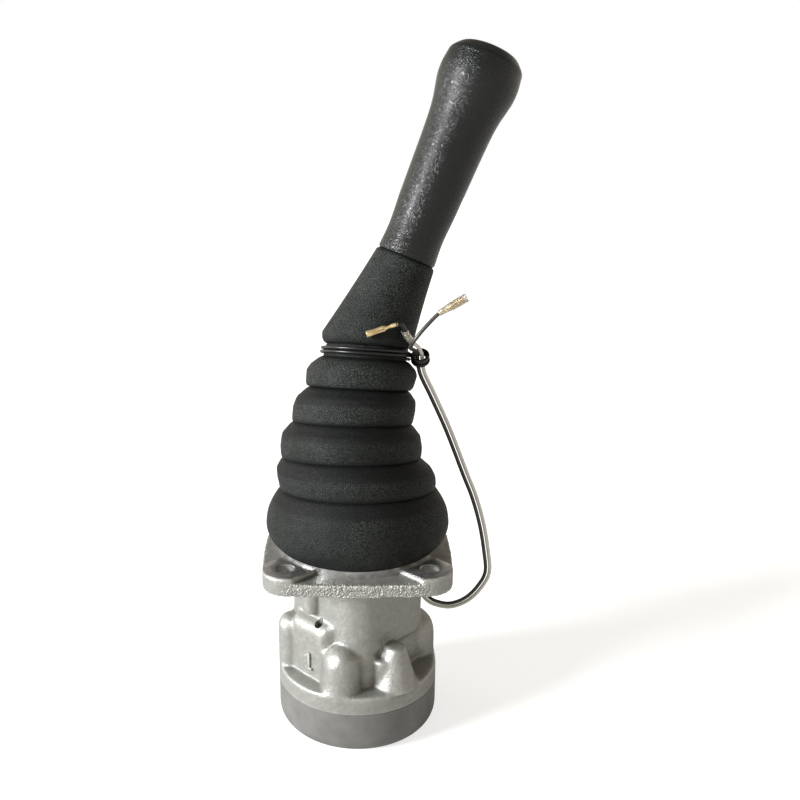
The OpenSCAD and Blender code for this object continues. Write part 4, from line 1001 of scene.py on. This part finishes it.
settle(smoothed(casting(), 38), "root", "cast_aluminium", "casing")

mounting_ring = spun("mounting_ring", [
    (RECESS_R, RECESS_Z + 0.2), (RING_R, 5), (RING_R, RING_TOP_Z - 0.5), (RING_R - 0.5, RING_TOP_Z),
    (RECESS_R + 0.5, RING_TOP_Z), (RECESS_R, RING_TOP_Z - 0.5)], MACHINED, 160)
settle(mounting_ring, "root", "cast_aluminium")


def pads():
    """The machined tops of the four pads on the flange's corners, each with its bolt hole's countersunk rim."""
    made = pad_prisms(FLANGE_REACH - 0.7, FLANGE_CORNER - 0.4, PAD_TOP_Z - 1.2, PAD_TOP_Z)
    hole = [(BOLT_R, 0), (BOLT_R, PAD_TOP_Z - 0.7), (BOLT_R + 0.8, PAD_TOP_Z + 0.1)]
    for pad, (x, y) in zip(made, ((1, 1), (-1, 1), (-1, -1), (1, -1))):
        modified(pad, "BEVEL", width=0.3 * MM, segments=2, limit_method="ANGLE", angle_limit=math.radians(50))
        at = Matrix.Translation((x * BOLT_AT, y * BOLT_AT, 0))
        cut_away(pad, spun("carver", hole, CAST, 40, at, closed=False))
    return refinished(joined("pads", made), MACHINED, 35)


settle(pads(), "root", "cast_aluminium")


def numeral():
    """The mould's raised 1 on the web, which tells the sections of the casting apart."""
    loop = [(-2.3, 0), (2.7, 0), (2.7, 1.5), (1.1, 1.5), (1.1, 10), (-0.4, 10), (-3, 8), (-3, 6.4), (-0.8, 7.7),
            (-0.8, 1.5), (-2.3, 1.5)]
    raised = prism(loop, -0.6, 1.5)
    modified(raised, "BEVEL", width=0.2 * MM, segments=3, limit_method="ANGLE", angle_limit=math.radians(50))
    h = math.sqrt(0.5)
    face = Matrix(((h, 0, -h, -26.2), (-h, 0, -h, -24.6), (0, 1, 0, -56.5), (0, 0, 0, 1)))
    face.translation *= MM
    raised.data.transform(face)
    raised.name = raised.data.name = "cast_numeral"
    return smoothed(raised, 50)


settle(numeral(), "root", "cast_aluminium")


THREAD_R, THREAD_PITCH, PORT_END_Z = 5.9, 1.34, -83


def port_plate():
    """The round port plate, turned all over, with its threaded ports and screw recesses."""
    rounded = [(BASE_R - EDGE_R + EDGE_R * math.sin(t), BASE_Z + EDGE_R - EDGE_R * math.cos(t))
               for t in np.linspace(0, math.pi / 2, 14)]
    top = SEAM_Z - 0.05
    outline = [(0.05, BASE_Z)] + rounded + [(BASE_R, SEAM_Z - 0.5), (BASE_R - 0.5, top), (0.05, top)]
    plate = spun("port_plate_body", outline, MACHINED, 160)
    spots = [(ROD_CIRCLE * math.cos(q), ROD_CIRCLE * math.sin(q), 4) for q in np.radians([0, 90, 180, 270])]
    spots += [(0, 0, 3.5), (TANK_AT, TANK_AT, 3)]
    thread = [(THREAD_R + 0.55 * (k % 2), BASE_Z + 1.6 + THREAD_PITCH / 2 * k) for k in range(1, 18)]
    cutters = []
    for x, y, r in spots:
        port = [(6.9, -99), (6.9, BASE_Z), (THREAD_R + 0.05, BASE_Z + 1)] + thread
        port += [(THREAD_R, PORT_END_Z - 0.2), (THREAD_R, PORT_END_Z), (r, PORT_END_Z), (r, -70)]
        cutters.append(spun("carver", port, CAST, 40, Matrix.Translation((x, y, 0)), closed=False))
    for a in SCREW_ANGLES:
        at = Matrix.Translation((SCREW_CIRCLE * math.cos(a), SCREW_CIRCLE * math.sin(a), 0))
        cutters.append(spun("carver", [(5.5, -99), (5.5, -89), (3.3, -89), (3.3, -70)], CAST, 40, at, closed=False))
    cut_away(plate, joined("port_cutter", cutters))
    return refinished(plate, BLASTED, 35)


settle(port_plate(), "root", "cast_aluminium", "port_plate")

# ---- Materials of the CAD pieces that stay ----
FINISHES = {
    "port_plate_screws": SCREW, "locating_pin": GROUND, "port_plate_seals": SEAL, "retaining_plate": TURNED,
    "plug_o_rings": SEAL, "rod_seals": SEAL, "lower_yoke": FORGED, "joint_cross": GROUND, "upper_yoke": FORGED,
    "swash_disc": TURNED, "adjusting_nut": ZINC, "lock_nut": ZINC, "lever_tube": FORGED, "horn_switch": BLACK_ABS,
    "lever_lead": BLACK_PVC, "grommet": SEAL}
for q in "1234":
    FINISHES.update({"guide_plug_" + q: BRASS, "push_rod_" + q: GROUND, "spring_seat_" + q: TURNED,
                     "spool_" + q: GROUND})
for node, finish in FINISHES.items():
    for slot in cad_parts[node].material_slots:
        slot.material = finish

# ---- Floor, backdrop and light: the camera sees plain white, and the object a dimmer, slightly warm room ----
FLOOR_GLOW, SHINE_GLOW, AMBIENT, ZENITH_AMBIENT, ZENITH_SHINE = 0.7, 0.15, 0.55, 0.22, 0.2


def pale_floor():
    """A plain pale floor that keeps its shadow: paler to the camera, and a little to gloss and to glass."""
    made = bpy.data.materials.new("pale_floor")
    made.use_nodes = True
    tree = made.node_tree
    tree.nodes.clear()
    path = add(tree, "ShaderNodeLightPath").outputs
    shiny = add(tree, "ShaderNodeMath", {0: path["Is Glossy Ray"], 1: path["Is Transmission Ray"]},
                operation="MAXIMUM").outputs[0]
    shown = add(tree, "ShaderNodeMath", {0: shiny, 1: SHINE_GLOW}, operation="MULTIPLY").outputs[0]
    shown = add(tree, "ShaderNodeMath", {0: path["Is Camera Ray"], 1: FLOOR_GLOW, 2: shown},
                operation="MULTIPLY_ADD").outputs[0]
    matt = add(tree, "ShaderNodeBsdfDiffuse", {"Color": linear("#cfcecb")})
    glow = add(tree, "ShaderNodeEmission", {"Color": (1, 1, 1, 1), "Strength": shown})
    both = add(tree, "ShaderNodeAddShader", {0: matt.outputs[0], 1: glow.outputs[0]})
    add(tree, "ShaderNodeOutputMaterial", {"Surface": both.outputs[0]})
    return made


FLOOR_HALF = 6000
floor = mesh_piece("floor", [(x * FLOOR_HALF, y * FLOOR_HALF, BASE_Z) for x, y in ((-1, -1), (1, -1), (1, 1), (-1, 1))],
                   [(0, 1, 2, 3)], pale_floor(), recalc=False)
floor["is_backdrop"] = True

world = bpy.data.worlds.new("studio")
bpy.context.scene.world = world
world.use_nodes = True
tree = world.node_tree
tree.nodes.clear()
path = add(tree, "ShaderNodeLightPath").outputs
shiny = add(tree, "ShaderNodeMath", {0: path["Is Glossy Ray"], 1: path["Is Transmission Ray"]},
            operation="MAXIMUM").outputs[0]
height = add(tree, "ShaderNodeSeparateXYZ", {0: add(tree, "ShaderNodeTexCoord").outputs["Generated"]}).outputs[2]
mirrored = add(tree, "ShaderNodeMapRange", {"Value": height, "From Min": 0.05, "From Max": 0.6, "To Min": 1.0,
                                            "To Max": ZENITH_SHINE}).outputs[0]
ambient = add(tree, "ShaderNodeMapRange", {"Value": height, "From Min": 0.0, "From Max": 0.9, "To Min": AMBIENT,
                                           "To Max": ZENITH_AMBIENT}).outputs[0]
unseen = add(tree, "ShaderNodeMix", {0: shiny, 2: ambient, 3: mirrored}).outputs[0]
strength = add(tree, "ShaderNodeMix", {0: path["Is Camera Ray"], 2: unseen, 3: 1.0}).outputs[0]
tint = add(tree, "ShaderNodeMix", {0: path["Is Camera Ray"], 6: linear("#fff5e6"), 7: (1, 1, 1, 1)},
           data_type="RGBA").outputs[2]
sky = add(tree, "ShaderNodeBackground", {"Color": tint, "Strength": strength})
add(tree, "ShaderNodeOutputWorld", {"Surface": sky.outputs[0]})


def sun(name, towards, strength, angle, colour="#ffffff"):
    """A soft distant lamp that shines from a direction."""
    light = bpy.data.lights.new(name, "SUN")
    light.energy, light.angle, light.color = strength, math.radians(angle), linear(colour)[:3]
    made = bpy.data.objects.new(name, light)
    bpy.context.scene.collection.objects.link(made)
    made.rotation_euler = Vector(towards).to_track_quat("Z", "Y").to_euler()
    return made


sun("key", (-0.86, -0.42, 0.3), 6.7, 18, "#fdfdff")
sun("rim", (-0.85, 0.45, 0.3), 0.5, 40, "#fffefa")

bpy.context.scene.view_settings.view_transform = "Standard"
low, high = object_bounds()
